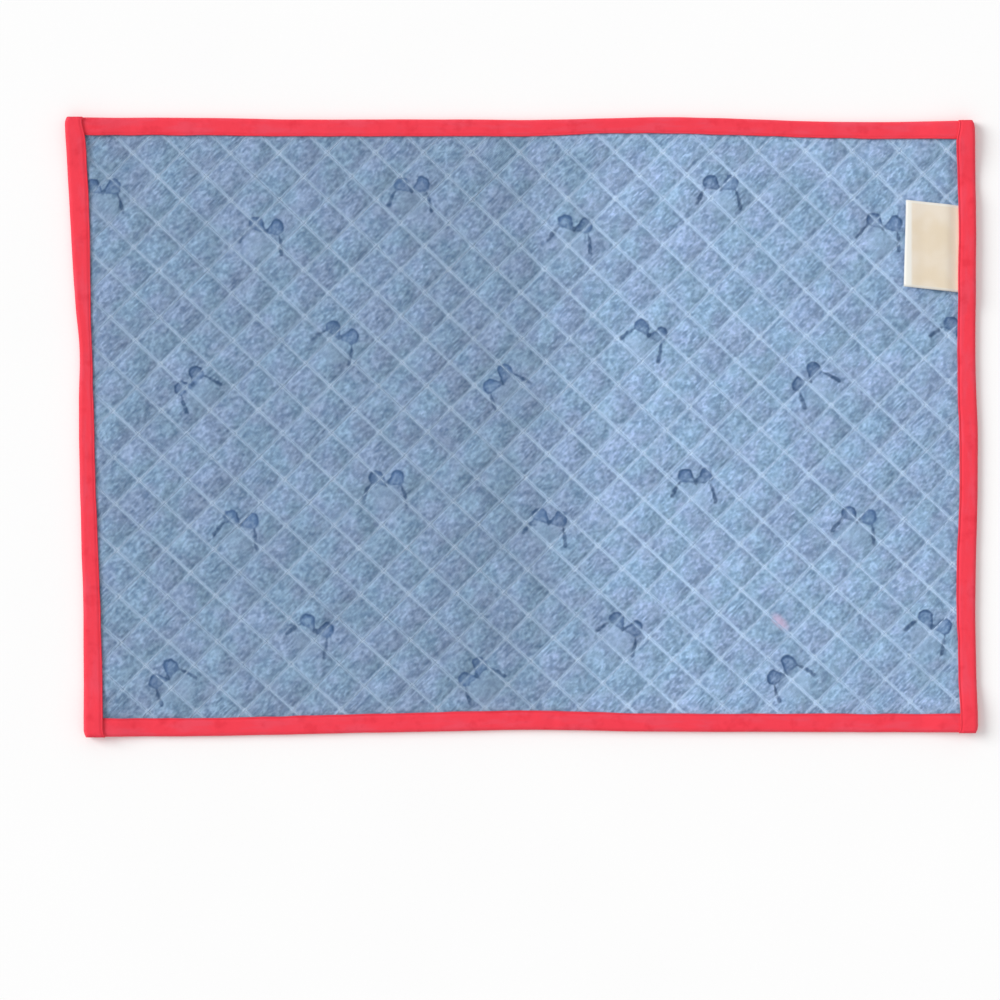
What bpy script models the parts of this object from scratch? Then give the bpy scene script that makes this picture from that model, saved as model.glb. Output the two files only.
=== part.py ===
"""A quilted fabric placemat: a padded blue panel, four strips of red binding and a folded label.

The mat lies flat, face up. X runs along its long side, Y across it to the far side, Z up, and the
origin is under the middle of the mat. Every size is in millimetres, and MM turns it into metres.
"""

import math
from bisect import bisect_right
from collections import namedtuple

import bmesh
import bpy

MM = 0.001
CLEARANCE = 0.3  # between pieces that lie on each other

# --- The outline: the mat is cut a little uneven, and its sides wander ---------------------------
# along: place along the side. edge: where the side's outer edge lies, measured across from the
# mat's middle. cover: how far the binding reaches in over the face.
SideRow = namedtuple("SideRow", "along edge cover")
LEFT_ROWS = [
    SideRow(-158, -224.1, 10.1),
    SideRow(-120, -224.4, 9.6),
    SideRow(-90, -224.6, 8.8),
    SideRow(-60, -225.5, 8.6),
    SideRow(-30, -226.2, 8.0),
    SideRow(10, -226.8, 7.7),
    SideRow(40, -226.5, 6.5),
    SideRow(60, -228.4, 7.7),
    SideRow(90, -230.3, 9.4),
    SideRow(120, -232.0, 10.2),
    SideRow(158, -234.0, 10.2),
]
RIGHT_ROWS = [
    SideRow(-156, 233.7, 9.0),
    SideRow(-105, 232.7, 9.4),
    SideRow(-75, 232.8, 9.8),
    SideRow(-30, 233.8, 9.2),
    SideRow(0, 233.7, 9.7),
    SideRow(30, 232.7, 9.4),
    SideRow(75, 232.8, 9.2),
    SideRow(120, 232.7, 9.2),
    SideRow(157, 232.0, 10.0),
]
FAR_ROWS = [
    SideRow(-234, 158.5, 9.2),
    SideRow(-160, 158.4, 9.0),
    SideRow(-110, 157.6, 8.7),
    SideRow(-40, 157.7, 8.7),
    SideRow(10, 157.4, 8.4),
    SideRow(40, 158.1, 7.7),
    SideRow(70, 158.8, 8.4),
    SideRow(100, 158.4, 8.6),
    SideRow(160, 156.4, 8.4),
    SideRow(232, 156.8, 9.4),
]
NEAR_ROWS = [
    SideRow(-224, -158.7, 9.5),
    SideRow(-160, -158.3, 9.1),
    SideRow(-100, -157.1, 9.5),
    SideRow(-50, -156.1, 9.8),
    SideRow(10, -155.2, 9.8),
    SideRow(60, -156.0, 9.3),
    SideRow(150, -156.3, 9.3),
    SideRow(234, -156.5, 9.6),
]

# axis: the axis that the side runs along. inward: which way the mat lies from its edge.
Side = namedtuple("Side", "rows axis inward")
LEFT = Side(LEFT_ROWS, "y", 1)
RIGHT = Side(RIGHT_ROWS, "y", -1)
FAR = Side(FAR_ROWS, "x", -1)
NEAR = Side(NEAR_ROWS, "x", 1)
SIDES = (FAR, NEAR, LEFT, RIGHT)

# --- The binding: folded tape round the mat's edge, with a leg below it and a leg above ----------
TAPE = 1.0  # thickness of the folded tape
TAPE_ROUND = 0.9  # how far its fold is rounded off
TAPE_STEP = 17.0  # longest stretch between two of its cross sections
BACK_COVER = 8.5  # how far it reaches in under the mat
LEG = TAPE + CLEARANCE  # what one more leg of tape takes up

# --- The panel: face cloth, wadding and back, quilted together -----------------------------------
RIM_UNDER, RIM_TOP = LEG, 2.4  # the rim is pressed flat between the legs of the binding
RIM_INSET = 1.6  # from the mat's edge to the panel's own cut edge, inside the fold
PUFF_TOP = 4.0  # the crown of a quilted diamond
PUFF_SHAPE = 0.6  # below 1, the diamond's crown is broad and its sides are steep
PUFF_RISE = 7.0  # the diamonds reach full height this far from the binding
TAPE_TOP = RIM_TOP + LEG

# --- The quilting: two sets of straight rows that cross in diamonds ------------------------------
SIDE_FALLING = (12.51, -11.74)  # a diamond's side along the rows that fall to the right
SIDE_RISING = (11.97, 11.94)  # a diamond's side along the rows that rise to the right
FIRST_CROSSING = (0.9, -2.1)
STEPS_ACROSS = 4  # grid steps in a diamond's width and in its height
GRID_REACH_X, GRID_REACH_Y = 240.0, 165.0  # the grid starts out larger than the mat
# The rows bow a little: by these shares of a diamond's side times the squares of x / BOW_X and
# y / BOW_Y, and their product.
Bow = namedtuple("Bow", "xx xy yy")
FALLING_BOW = Bow(0.086, -0.066, -0.028)
RISING_BOW = Bow(0.068, 0.027, -0.100)
BOW_X, BOW_Y = 200.0, 150.0
SNAP = 2.2  # a grid point this close to the binding's edge is brought onto it,
MERGE = 0.6  # points that come together there are merged,
SLIVER = 1.0  # and a face whose area is then under this is dropped

# --- The fold: the mat was folded in half, and a soft trough is left across its middle -----------
FOLD_FAR_X, FOLD_NEAR_X = 7.0, 16.6  # where it meets the far and the near side
FOLD_Y = 157.0
FOLD_HALF_WIDTH = 12.0
FOLD_DEPTH = 0.5

# --- The corners: the side strips lie over the ends of the far and near strips -------------------
# from_edge: distance from the mat's edge. under, over: how far the lower and upper faces are raised.
Rise = namedtuple("Rise", "from_edge under over")
CORNER_OVER = 1.2  # a little under one leg, because the panel's corner is pressed thinner
LONG_STRIP_END = [
    Rise(0, LEG, CORNER_OVER),
    Rise(11, LEG, CORNER_OVER),
    Rise(17, 0, CORNER_OVER),
    Rise(19, 0, CORNER_OVER),
    Rise(29, 0, 0),
]
SIDE_STRIP_END = [Rise(0, 0, CORNER_OVER + LEG), Rise(11, 0, CORNER_OVER + LEG), Rise(27, 0, 0)]
PANEL_CORNER = [Rise(14, LEG, CORNER_OVER), Rise(23, 0, 0)]
STRIP_END_INSET = 1.5  # from the mat's edge to the cut ends of the far and near strips

# --- The label: a ribbon folded in two, its ends caught under the right strip --------------------
LABEL_NEAR_Y, LABEL_FAR_Y = 68.9, 113.2  # where it leaves the binding
LABEL_SLANT = 0.103  # its edges climb this much for each millimetre away from the binding
LABEL_LENGTH_NEAR, LABEL_LENGTH_FAR = 28.1, 27.0
LABEL_CLOTH = 0.4
LABEL_PITCH = LABEL_CLOTH + CLEARANCE  # from its lower layer to its upper one
LABEL_TUCKED = RIM_TOP + CLEARANCE + LABEL_CLOTH / 2  # the lower layer's height on the rim
LABEL_FREE = PUFF_TOP + CLEARANCE + LABEL_CLOTH / 2  # and on the crowns of the diamonds
LABEL_LIFT = 0.5  # the fold stands this much further off the cloth
LABEL_COLUMNS = 6
# out: distance from the binding, as a share of the label's length. height: of the cloth's middle.
LabelRow = namedtuple("LabelRow", "out height")
LABEL_LOWER = [
    LabelRow(-0.17, LABEL_TUCKED),
    LabelRow(0.00, LABEL_TUCKED),
    LabelRow(0.25, LABEL_FREE),
    LabelRow(0.62, LABEL_FREE),
    LabelRow(0.97, LABEL_FREE + LABEL_LIFT),
]
LABEL_NOSE = [
    LabelRow(0.99, LABEL_FREE + LABEL_LIFT + 0.1 * LABEL_PITCH),
    LabelRow(1.00, LABEL_FREE + LABEL_LIFT + 0.5 * LABEL_PITCH),
    LabelRow(0.99, LABEL_FREE + LABEL_LIFT + 0.9 * LABEL_PITCH),
]
LABEL_RISE = LABEL_CLOTH + LABEL_PITCH + CLEARANCE  # the strip above is raised by both layers
LABEL_RAMP = 9.0  # the strip comes down again over this length
LABEL_MARGIN = 2.0
Hump = namedtuple("Hump", "along over")

COLOURS = {
    "denim": (0.250, 0.361, 0.527),
    "red_cotton": (0.896, 0.055, 0.089),
    "cream_ribbon": (0.880, 0.776, 0.637),
}


# --- Reading the tables --------------------------------------------------------------------------
def smooth_value(rows, column, place):
    """A column's value at a place along a side, on a smooth curve through the rows."""
    places = [row.along for row in rows]
    values = [getattr(row, column) for row in rows]
    last = len(rows) - 1
    k = min(max(bisect_right(places, place) - 1, 0), last - 1)

    def slope(i):
        before, after = max(i - 1, 0), min(i + 1, last)
        return (values[after] - values[before]) / (places[after] - places[before])

    run = places[k + 1] - places[k]
    t = min(max((place - places[k]) / run, 0.0), 1.0)
    start = values[k] * (1 + 2 * t) * (1 - t) ** 2 + values[k + 1] * t * t * (3 - 2 * t)
    return start + run * (slope(k) * t * (1 - t) ** 2 - slope(k + 1) * t * t * (1 - t))


def straight_value(rows, key, column, place):
    """A column's value at a place, on straight lines between the rows and level past their ends."""
    if place <= getattr(rows[0], key):
        return getattr(rows[0], column)
    for before, after in zip(rows, rows[1:]):
        start, end = getattr(before, key), getattr(after, key)
        if place <= end:
            t = (place - start) / (end - start)
            return getattr(before, column) * (1 - t) + getattr(after, column) * t
    return getattr(rows[-1], column)


def edge_at(side, along):
    return smooth_value(side.rows, "edge", along)


def cover_at(side, along):
    return smooth_value(side.rows, "cover", along)


def along_side(side, x, y):
    return x if side.axis == "x" else y


def depth_in(side, x, y):
    """How far a point lies in from the mat's edge on that side."""
    across = y if side.axis == "x" else x
    return (across - edge_at(side, along_side(side, x, y))) * side.inward


def at_depth(side, x, y, depth):
    """The point moved across the side, until it lies at that depth."""
    across = edge_at(side, along_side(side, x, y)) + depth * side.inward
    return (x, across) if side.axis == "x" else (across, y)


def corner_rise(x, y, column):
    """How far the panel is raised near a corner, by the ends of the strips below and above it."""
    from_long = min(depth_in(FAR, x, y), depth_in(NEAR, x, y))
    from_short = min(depth_in(LEFT, x, y), depth_in(RIGHT, x, y))
    full = getattr(PANEL_CORNER[0], column)
    share_long = straight_value(PANEL_CORNER, "from_edge", column, from_long) / full
    return share_long * straight_value(PANEL_CORNER, "from_edge", column, from_short)


# --- Mesh helpers --------------------------------------------------------------------------------
def grid(columns, rows):
    """A bmesh with a flat grid, and its vertices with their column and row numbers."""
    bm = bmesh.new()
    made = bmesh.ops.create_grid(bm, x_segments=columns, y_segments=rows, size=0.5)
    numbered = {v: (round((v.co.x + 0.5) * columns), round((v.co.y + 0.5) * rows)) for v in made["verts"]}
    return bm, numbered


def add_object(name, bm, material, collection):
    """The bmesh, in millimetres, as an object in metres."""
    for vertex in bm.verts:
        vertex.co *= MM
    bmesh.ops.recalc_face_normals(bm, faces=bm.faces)
    mesh = bpy.data.meshes.new(name)
    bm.to_mesh(mesh)
    bm.free()
    mesh.materials.append(material)
    thing = bpy.data.objects.new(name, mesh)
    collection.objects.link(thing)
    return thing


def thicken(thing, thickness, offset):
    solid = thing.modifiers.new("cloth thickness", "SOLIDIFY")
    solid.thickness = thickness * MM
    solid.offset = offset
    solid.use_even_offset = True
    solid.use_quality_normals = True


# --- The quilted panel ---------------------------------------------------------------------------
def quilt_place(falling, rising):
    """The point that lies this many diamonds along each set of rows, with the rows' slight bow."""
    x = y = 0.0
    for _ in range(3):
        bow_x, bow_y = x / BOW_X, y / BOW_Y
        terms = (bow_x * bow_x, bow_x * bow_y, bow_y * bow_y)
        f = falling - sum(b * t for b, t in zip(FALLING_BOW, terms))
        r = rising - sum(b * t for b, t in zip(RISING_BOW, terms))
        x = FIRST_CROSSING[0] + f * SIDE_FALLING[0] + r * SIDE_RISING[0]
        y = FIRST_CROSSING[1] + f * SIDE_FALLING[1] + r * SIDE_RISING[1]
    return x, y


def puff(falling, rising):
    """The height of a diamond's padding, from 0 on its seams to 1 at its middle."""
    return abs(math.sin(math.pi * falling) * math.sin(math.pi * rising)) ** PUFF_SHAPE


def fold_drop(x, y):
    """The depth of the old fold at a point."""
    share = (y + FOLD_Y) / (2 * FOLD_Y)
    fold_x = FOLD_NEAR_X + (FOLD_FAR_X - FOLD_NEAR_X) * share
    return FOLD_DEPTH * max(0.0, 1 - abs(x - fold_x) / FOLD_HALF_WIDTH) ** 2


def face_height(x, y, falling, rising):
    from_binding = min(depth_in(s, x, y) - cover_at(s, along_side(s, x, y)) for s in SIDES)
    share = min(1.0, max(0.0, from_binding / PUFF_RISE))
    raised = (PUFF_TOP - RIM_TOP) * puff(falling, rising) - fold_drop(x, y)
    return RIM_TOP + share * raised + corner_rise(x, y, "over")


def quilted_face():
    """The face of the panel inside the binding, its grid laid so that its diagonals are the seams."""
    width = SIDE_FALLING[0] + SIDE_RISING[0]
    height = SIDE_RISING[1] - SIDE_FALLING[1]
    reach_x = math.ceil(GRID_REACH_X / width) * STEPS_ACROSS
    reach_y = math.ceil(GRID_REACH_Y / height) * STEPS_ACROSS
    bm, numbered = grid(2 * reach_x, 2 * reach_y)
    rising_cells, falling_cells = [], []
    for face in bm.faces:
        first_column = min(numbered[v][0] for v in face.verts)
        first_row = min(numbered[v][1] for v in face.verts)
        even = (first_column + first_row) % 2 == 0
        (rising_cells if even else falling_cells).append(face)
    bmesh.ops.triangulate(bm, faces=rising_cells, quad_method="FIXED")
    bmesh.ops.triangulate(bm, faces=falling_cells, quad_method="ALTERNATE")
    for vertex, (column, row) in numbered.items():
        across, up = column - reach_x, row - reach_y
        falling, rising = (across - up) / STEPS_ACROSS, (across + up) / STEPS_ACROSS
        x, y = quilt_place(falling, rising)
        settled = True
        for side in SIDES:
            line = cover_at(side, along_side(side, x, y))
            if depth_in(side, x, y) < line + SNAP:
                x, y = at_depth(side, x, y, line)
                settled = False
        z = face_height(x, y, falling, rising) if settled else RIM_TOP + corner_rise(x, y, "over")
        vertex.co = (x, y, z)
    bmesh.ops.remove_doubles(bm, verts=bm.verts, dist=MERGE)
    slivers = [face for face in bm.faces if face.calc_area() < SLIVER]
    bmesh.ops.delete(bm, geom=slivers, context="FACES")
    return bm


def ring_outwards(bm, old_depth, new_depth, column, height):
    """One more ring of faces round the sheet's open edge, moved across the sides from one depth to
    another and set at a height, to which the corners add their rise."""
    rim = [edge for edge in bm.edges if edge.is_boundary]
    made = bmesh.ops.extrude_edge_only(bm, edges=rim)["geom"]
    for vertex in (v for v in made if isinstance(v, bmesh.types.BMVert)):
        x, y = vertex.co.x, vertex.co.y
        for side in SIDES:
            if abs(depth_in(side, x, y) - old_depth(side, along_side(side, x, y))) < SNAP / 4:
                x, y = at_depth(side, x, y, new_depth(side, along_side(side, x, y)))
        vertex.co = (x, y, height + (corner_rise(x, y, column) if column else 0.0))


def make_panel(material, collection):
    """The face, the rim pressed between the legs of the binding, and the flat underside."""

    def rim_line(side, along):
        return RIM_INSET

    def back_line(side, along):
        return BACK_COVER + CLEARANCE

    bm = quilted_face()
    ring_outwards(bm, cover_at, rim_line, "over", RIM_TOP)
    ring_outwards(bm, rim_line, rim_line, "under", RIM_UNDER)
    ring_outwards(bm, rim_line, back_line, "under", RIM_UNDER)
    ring_outwards(bm, back_line, back_line, None, 0.0)
    open_edge = [edge for edge in bm.edges if edge.is_boundary]
    underside = bmesh.ops.holes_fill(bm, edges=open_edge, sides=0)["faces"]
    bmesh.ops.poke(bm, faces=underside)
    return add_object("quilted_panel", bm, material, collection)


# --- The binding strips --------------------------------------------------------------------------
def filled(marks):
    """The marks in order, with even steps of at most TAPE_STEP between them."""
    places = []
    for start, end in zip(marks, marks[1:]):
        count = math.ceil((end - start) / TAPE_STEP)
        places += [start + (end - start) * i / count for i in range(count)]
    return places + [marks[-1]]


def make_strip(name, side, start_side, end_side, inset, end_rises, humps, material, collection):
    """A strip of tape folded round one side, from the mat's edge on start_side to that on end_side.
    humps are rows for what else lies under its upper leg."""
    first_edge = edge_at(start_side, side.rows[0].edge)
    last_edge = edge_at(end_side, side.rows[-1].edge)
    distances = [inset] + [row.from_edge for row in end_rises if row.from_edge > inset]
    marks = {first_edge + d for d in distances} | {last_edge - d for d in distances}
    places = filled(sorted(marks | {row.along for row in humps}))

    def raised(along, column):
        from_end = min(along - first_edge, last_edge - along)
        rise = straight_value(end_rises, "from_edge", column, from_end)
        if humps and column == "over":
            rise += straight_value(humps, "along", "over", along)
        return rise

    def section(along):
        """The tape's outer face, from the end of its lower leg to that of its upper one."""
        under, over = raised(along, "under"), TAPE_TOP + raised(along, "over")
        lower = [(BACK_COVER, under), (TAPE_ROUND, under), (0.0, under + TAPE_ROUND)]
        return lower + [(0.0, over - TAPE_ROUND), (TAPE_ROUND, over), (cover_at(side, along), over)]

    sections = [section(along) for along in places]
    bm, numbered = grid(len(places) - 1, len(sections[0]) - 1)
    for vertex, (column, row) in numbered.items():
        along = places[column]
        depth, z = sections[column][row]
        across = edge_at(side, along) + depth * side.inward
        x, y = (along, across) if side.axis == "x" else (across, along)
        vertex.co = (x, y, z)
    strip = add_object(name, bm, material, collection)
    thicken(strip, TAPE, -1.0)
    return strip


def make_binding(material, collection):
    """Four strips. The far and near ones stop just inside the side ones, which run past their ends."""
    long_end, side_end = LONG_STRIP_END, SIDE_STRIP_END
    near, far = LABEL_NEAR_Y - LABEL_MARGIN, LABEL_FAR_Y + LABEL_MARGIN
    over_label = [
        Hump(near - LABEL_RAMP, 0.0),
        Hump(near, LABEL_RISE),
        Hump(far, LABEL_RISE),
        Hump(far + LABEL_RAMP, 0.0),
    ]
    make_strip("binding_far", FAR, LEFT, RIGHT, STRIP_END_INSET, long_end, [], material, collection)
    make_strip("binding_near", NEAR, LEFT, RIGHT, STRIP_END_INSET, long_end, [], material, collection)
    make_strip("binding_left", LEFT, NEAR, FAR, 0.0, side_end, [], material, collection)
    make_strip("binding_right", RIGHT, NEAR, FAR, 0.0, side_end, over_label, material, collection)


# --- The label -----------------------------------------------------------------------------------
def make_label(material, collection):
    """One ribbon: in under the binding, out over the diamonds, round its fold and back."""
    upper = [LabelRow(row.out, row.height + LABEL_PITCH) for row in reversed(LABEL_LOWER)]
    rows = LABEL_LOWER + LABEL_NOSE + upper
    bm, numbered = grid(LABEL_COLUMNS, len(rows) - 1)
    for vertex, (column, row) in numbered.items():
        share = column / LABEL_COLUMNS
        length = LABEL_LENGTH_NEAR + (LABEL_LENGTH_FAR - LABEL_LENGTH_NEAR) * share
        out = rows[row].out * length
        leaves_y = LABEL_NEAR_Y + (LABEL_FAR_Y - LABEL_NEAR_Y) * share
        leaves_x = edge_at(RIGHT, leaves_y) - cover_at(RIGHT, leaves_y)
        vertex.co = (leaves_x - out, leaves_y + LABEL_SLANT * out, rows[row].height)
    label = add_object("label", bm, material, collection)
    thicken(label, LABEL_CLOTH, 0.0)
    return label


# --- Everything ----------------------------------------------------------------------------------
def plain_material(name):
    material = bpy.data.materials.new(name)
    material.use_nodes = True
    shader = material.node_tree.nodes["Principled BSDF"]
    shader.inputs["Base Color"].default_value = (*COLOURS[name], 1.0)
    shader.inputs["Roughness"].default_value = 0.9
    shader.inputs["Metallic"].default_value = 0.0
    material.diffuse_color = (*COLOURS[name], 1.0)
    return material


def main():
    for thing in list(bpy.data.objects):
        bpy.data.objects.remove(thing)
    collection = bpy.data.collections.new("fabric placemat")
    bpy.context.scene.collection.children.link(collection)
    make_panel(plain_material("denim"), collection)
    make_binding(plain_material("red_cotton"), collection)
    make_label(plain_material("cream_ribbon"), collection)


main()
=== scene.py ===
# %% [markdown]
# # A quilted placemat
# The mat is a padded panel of pale blue twill, quilted in diamonds, bound in red cotton tape and
# marked with a folded cream ribbon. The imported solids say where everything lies. This script builds
# the cloth that is seen: finer meshes in the same places, the quilting stitches and the finishes.
# Every size is in millimetres, and MM turns it into Blender's metres. The picture is looked at from
# straight above: X runs along the mat's long side, Y to its far side and Z up.

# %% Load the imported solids
import math
from bisect import bisect_right
from collections import namedtuple

import bmesh
import bpy
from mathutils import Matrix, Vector, noise


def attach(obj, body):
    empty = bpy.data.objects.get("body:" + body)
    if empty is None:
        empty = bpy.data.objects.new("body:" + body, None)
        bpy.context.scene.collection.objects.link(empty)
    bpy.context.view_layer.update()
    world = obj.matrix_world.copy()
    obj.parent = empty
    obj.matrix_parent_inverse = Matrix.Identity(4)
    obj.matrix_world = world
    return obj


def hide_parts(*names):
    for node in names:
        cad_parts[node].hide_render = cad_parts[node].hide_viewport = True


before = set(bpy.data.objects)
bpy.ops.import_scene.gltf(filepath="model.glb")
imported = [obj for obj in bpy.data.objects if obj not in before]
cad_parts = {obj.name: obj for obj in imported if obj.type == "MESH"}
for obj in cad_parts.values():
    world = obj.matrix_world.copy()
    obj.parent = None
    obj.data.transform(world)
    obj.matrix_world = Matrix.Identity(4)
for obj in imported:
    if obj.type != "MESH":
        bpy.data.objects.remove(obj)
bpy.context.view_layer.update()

MM = 0.001
print("solids:", ", ".join(sorted(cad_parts)))

# %% [markdown]
# ## The camera
# The picture was taken from straight above. A long lens, high up, keeps the mat's sides straight,
# and its focal length follows from the width of cloth that the picture takes in.

# %% Camera
PICTURE = 1000  # pixels along each side of the picture
PIXEL = 0.512  # the cloth that one pixel covers
MAT_MIDDLE = (521.5, 427.0)  # where the mat's middle lies in the picture, in pixels
CAMERA_HEIGHT = 1400.0
SHARP_AT = 3.0  # the height of the cloth for which PIXEL holds


def from_picture(across, down):
    """The point of the mat at a pixel of the picture."""
    return (across - MAT_MIDDLE[0]) * PIXEL, (MAT_MIDDLE[1] - down) * PIXEL


camera_data = bpy.data.cameras.new("camera")
camera_data.lens = camera_data.sensor_width * (CAMERA_HEIGHT - SHARP_AT) / (PICTURE * PIXEL)
camera = bpy.data.objects.new("camera", camera_data)
camera_x, camera_y = from_picture(PICTURE / 2, PICTURE / 2)
camera.location = (camera_x * MM, camera_y * MM, CAMERA_HEIGHT * MM)
bpy.context.scene.collection.objects.link(camera)
bpy.context.scene.camera = camera
print("lens", round(camera_data.lens, 1), "mm, camera over", round(camera_x, 1), round(camera_y, 1))

# %% [markdown]
# ## The light
# An even, pale sky gives the flat brightness of a product picture. One broad lamp from the left,
# and a little from the far side, adds just enough shade for the diamonds to stand out. The view
# transform is Standard, so that a colour measured in a picture comes out as itself.

# %% Sky and lamp
SKY_STRENGTH = 0.64
LAMP_STRENGTH = 2.2
LAMP_LOWERED, LAMP_TURNED = math.radians(58), math.radians(20)  # from the zenith, and from the left
LAMP_WIDTH = math.radians(34)

scene = bpy.context.scene
scene.view_settings.view_transform = "Standard"
sky = bpy.data.worlds.new("pale sky")
sky.use_nodes = True
sky.node_tree.nodes["Background"].inputs["Color"].default_value = (1, 1, 1, 1)
sky.node_tree.nodes["Background"].inputs["Strength"].default_value = SKY_STRENGTH
scene.world = sky

lamp_data = bpy.data.lights.new("broad lamp", "SUN")
lamp_data.energy = LAMP_STRENGTH
lamp_data.angle = LAMP_WIDTH
lamp = bpy.data.objects.new("broad lamp", lamp_data)
lamp.rotation_euler = (0, -LAMP_LOWERED, -LAMP_TURNED)
scene.collection.objects.link(lamp)
print("lamp", round(math.degrees(LAMP_LOWERED)), "degrees off the zenith")

# %% [markdown]
# ### The floor
# One plain face is floor enough, as long as it reaches past the edge of a low view.

# %% Floor
FLOOR_SIZE = 40.0  # metres
FLOOR_DROP = 0.05  # the floor lies this far below the mat, so that the two faces don't flicker

floor_mesh = bmesh.new()
bmesh.ops.create_grid(floor_mesh, x_segments=1, y_segments=1, size=FLOOR_SIZE / 2)
bmesh.ops.translate(floor_mesh, verts=floor_mesh.verts, vec=(0, 0, -FLOOR_DROP * MM))
floor_data = bpy.data.meshes.new("floor")
floor_mesh.to_mesh(floor_data)
floor_mesh.free()
floor = bpy.data.objects.new("floor", floor_data)
scene.collection.objects.link(floor)
print("floor", FLOOR_SIZE, "m wide")

# %% [markdown]
# ## The outline
# The mat was cut and bound by hand, so its sides wander by a few millimetres. Each side is a short
# table, read off the picture: how far out the edge lies, and how far the binding comes in over the
# face. These are the same tables that shape the solids.

# %% The four sides
# along: place along the side. edge: where its outer edge lies, measured across from the mat's
# middle. cover: how far the binding reaches in over the face.
SideRow = namedtuple("SideRow", "along edge cover")
LEFT_ROWS = [
    SideRow(-158, -224.1, 10.1),
    SideRow(-120, -224.4, 9.6),
    SideRow(-90, -224.6, 8.8),
    SideRow(-60, -225.5, 8.6),
    SideRow(-30, -226.2, 8.0),
    SideRow(10, -226.8, 7.7),
    SideRow(40, -226.5, 6.5),
    SideRow(60, -228.4, 7.7),
    SideRow(90, -230.3, 9.4),
    SideRow(120, -232.0, 10.2),
    SideRow(158, -234.0, 10.2),
]
RIGHT_ROWS = [
    SideRow(-156, 233.7, 9.0),
    SideRow(-105, 232.7, 9.4),
    SideRow(-75, 232.8, 9.8),
    SideRow(-30, 233.8, 9.2),
    SideRow(0, 233.7, 9.7),
    SideRow(30, 232.7, 9.4),
    SideRow(75, 232.8, 9.2),
    SideRow(120, 232.7, 9.2),
    SideRow(157, 232.0, 10.0),
]
FAR_ROWS = [
    SideRow(-234, 158.5, 9.2),
    SideRow(-160, 158.4, 9.0),
    SideRow(-110, 157.6, 8.7),
    SideRow(-40, 157.7, 8.7),
    SideRow(10, 157.4, 8.4),
    SideRow(40, 158.1, 7.7),
    SideRow(70, 158.8, 8.4),
    SideRow(100, 158.4, 8.6),
    SideRow(160, 156.4, 8.4),
    SideRow(232, 156.8, 9.4),
]
NEAR_ROWS = [
    SideRow(-224, -158.7, 9.5),
    SideRow(-160, -158.3, 9.1),
    SideRow(-100, -157.1, 9.5),
    SideRow(-50, -156.1, 9.8),
    SideRow(10, -155.2, 9.8),
    SideRow(60, -156.0, 9.3),
    SideRow(150, -156.3, 9.3),
    SideRow(234, -156.5, 9.6),
]

# axis: the axis that the side runs along. inward: which way the mat lies from its edge.
Side = namedtuple("Side", "rows axis inward")
LEFT = Side(LEFT_ROWS, "y", 1)
RIGHT = Side(RIGHT_ROWS, "y", -1)
FAR = Side(FAR_ROWS, "x", -1)
NEAR = Side(NEAR_ROWS, "x", 1)
SIDES = (FAR, NEAR, LEFT, RIGHT)
print("rows in the four tables:", [len(side.rows) for side in SIDES])

# %% [markdown]
# ### Measuring from the edges
# A smooth curve through a table's rows gives the values in between. It meets every row and takes its
# slope there from the two neighbours, so the outline has no kinks. With it, any point of the mat is
# measured from its four edges, which is how the binding and the padding find their places.

# %% Reading the tables


def smooth_value(rows, column, place):
    """A column's value at a place along a side, on a smooth curve through the rows."""
    places = [row.along for row in rows]
    values = [getattr(row, column) for row in rows]
    last = len(rows) - 1
    k = min(max(bisect_right(places, place) - 1, 0), last - 1)

    def slope(i):
        before, after = max(i - 1, 0), min(i + 1, last)
        return (values[after] - values[before]) / (places[after] - places[before])

    run = places[k + 1] - places[k]
    t = min(max((place - places[k]) / run, 0.0), 1.0)
    start = values[k] * (1 + 2 * t) * (1 - t) ** 2 + values[k + 1] * t * t * (3 - 2 * t)
    return start + run * (slope(k) * t * (1 - t) ** 2 - slope(k + 1) * t * t * (1 - t))


def edge_at(side, along):
    return smooth_value(side.rows, "edge", along)


def cover_at(side, along):
    return smooth_value(side.rows, "cover", along)


def along_side(side, x, y):
    return x if side.axis == "x" else y


def depth_in(side, x, y):
    """How far a point lies in from the mat's edge on that side."""
    across = y if side.axis == "x" else x
    return (across - edge_at(side, along_side(side, x, y))) * side.inward


def at_depth(side, x, y, depth):
    """The point moved across the side, until it lies at that depth."""
    across = edge_at(side, along_side(side, x, y)) + depth * side.inward
    return (x, across) if side.axis == "x" else (across, y)


def from_binding(x, y):
    """How far a point of the face lies from the nearest edge of the binding."""
    return min(depth_in(side, x, y) - cover_at(side, along_side(side, x, y)) for side in SIDES)


print("middle of the mat:", round(edge_at(RIGHT, 0) - edge_at(LEFT, 0), 1), "mm wide")

# %% [markdown]
# ## The corners
# The far and near strips are sewn on first, and the side strips lie over their ends. So everything
# near a corner is raised: the layers below add their thickness. Short tables say by how much, at
# what distance from the mat's edge.

# %% Heights of the layers
CLEARANCE = 0.3  # between pieces that lie on each other
TAPE = 1.0  # the folded tape, two layers of cloth
LEG = TAPE + CLEARANCE  # what one more leg of tape takes up
RIM_UNDER, RIM_TOP = LEG, 2.4  # the panel's rim is pressed flat between the legs of the binding
RIM_INSET = 1.6  # from the mat's edge to the panel's own cut edge, inside the fold
TAPE_TOP = RIM_TOP + LEG
BACK_COVER = 8.5  # how far the binding reaches in under the mat

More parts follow.
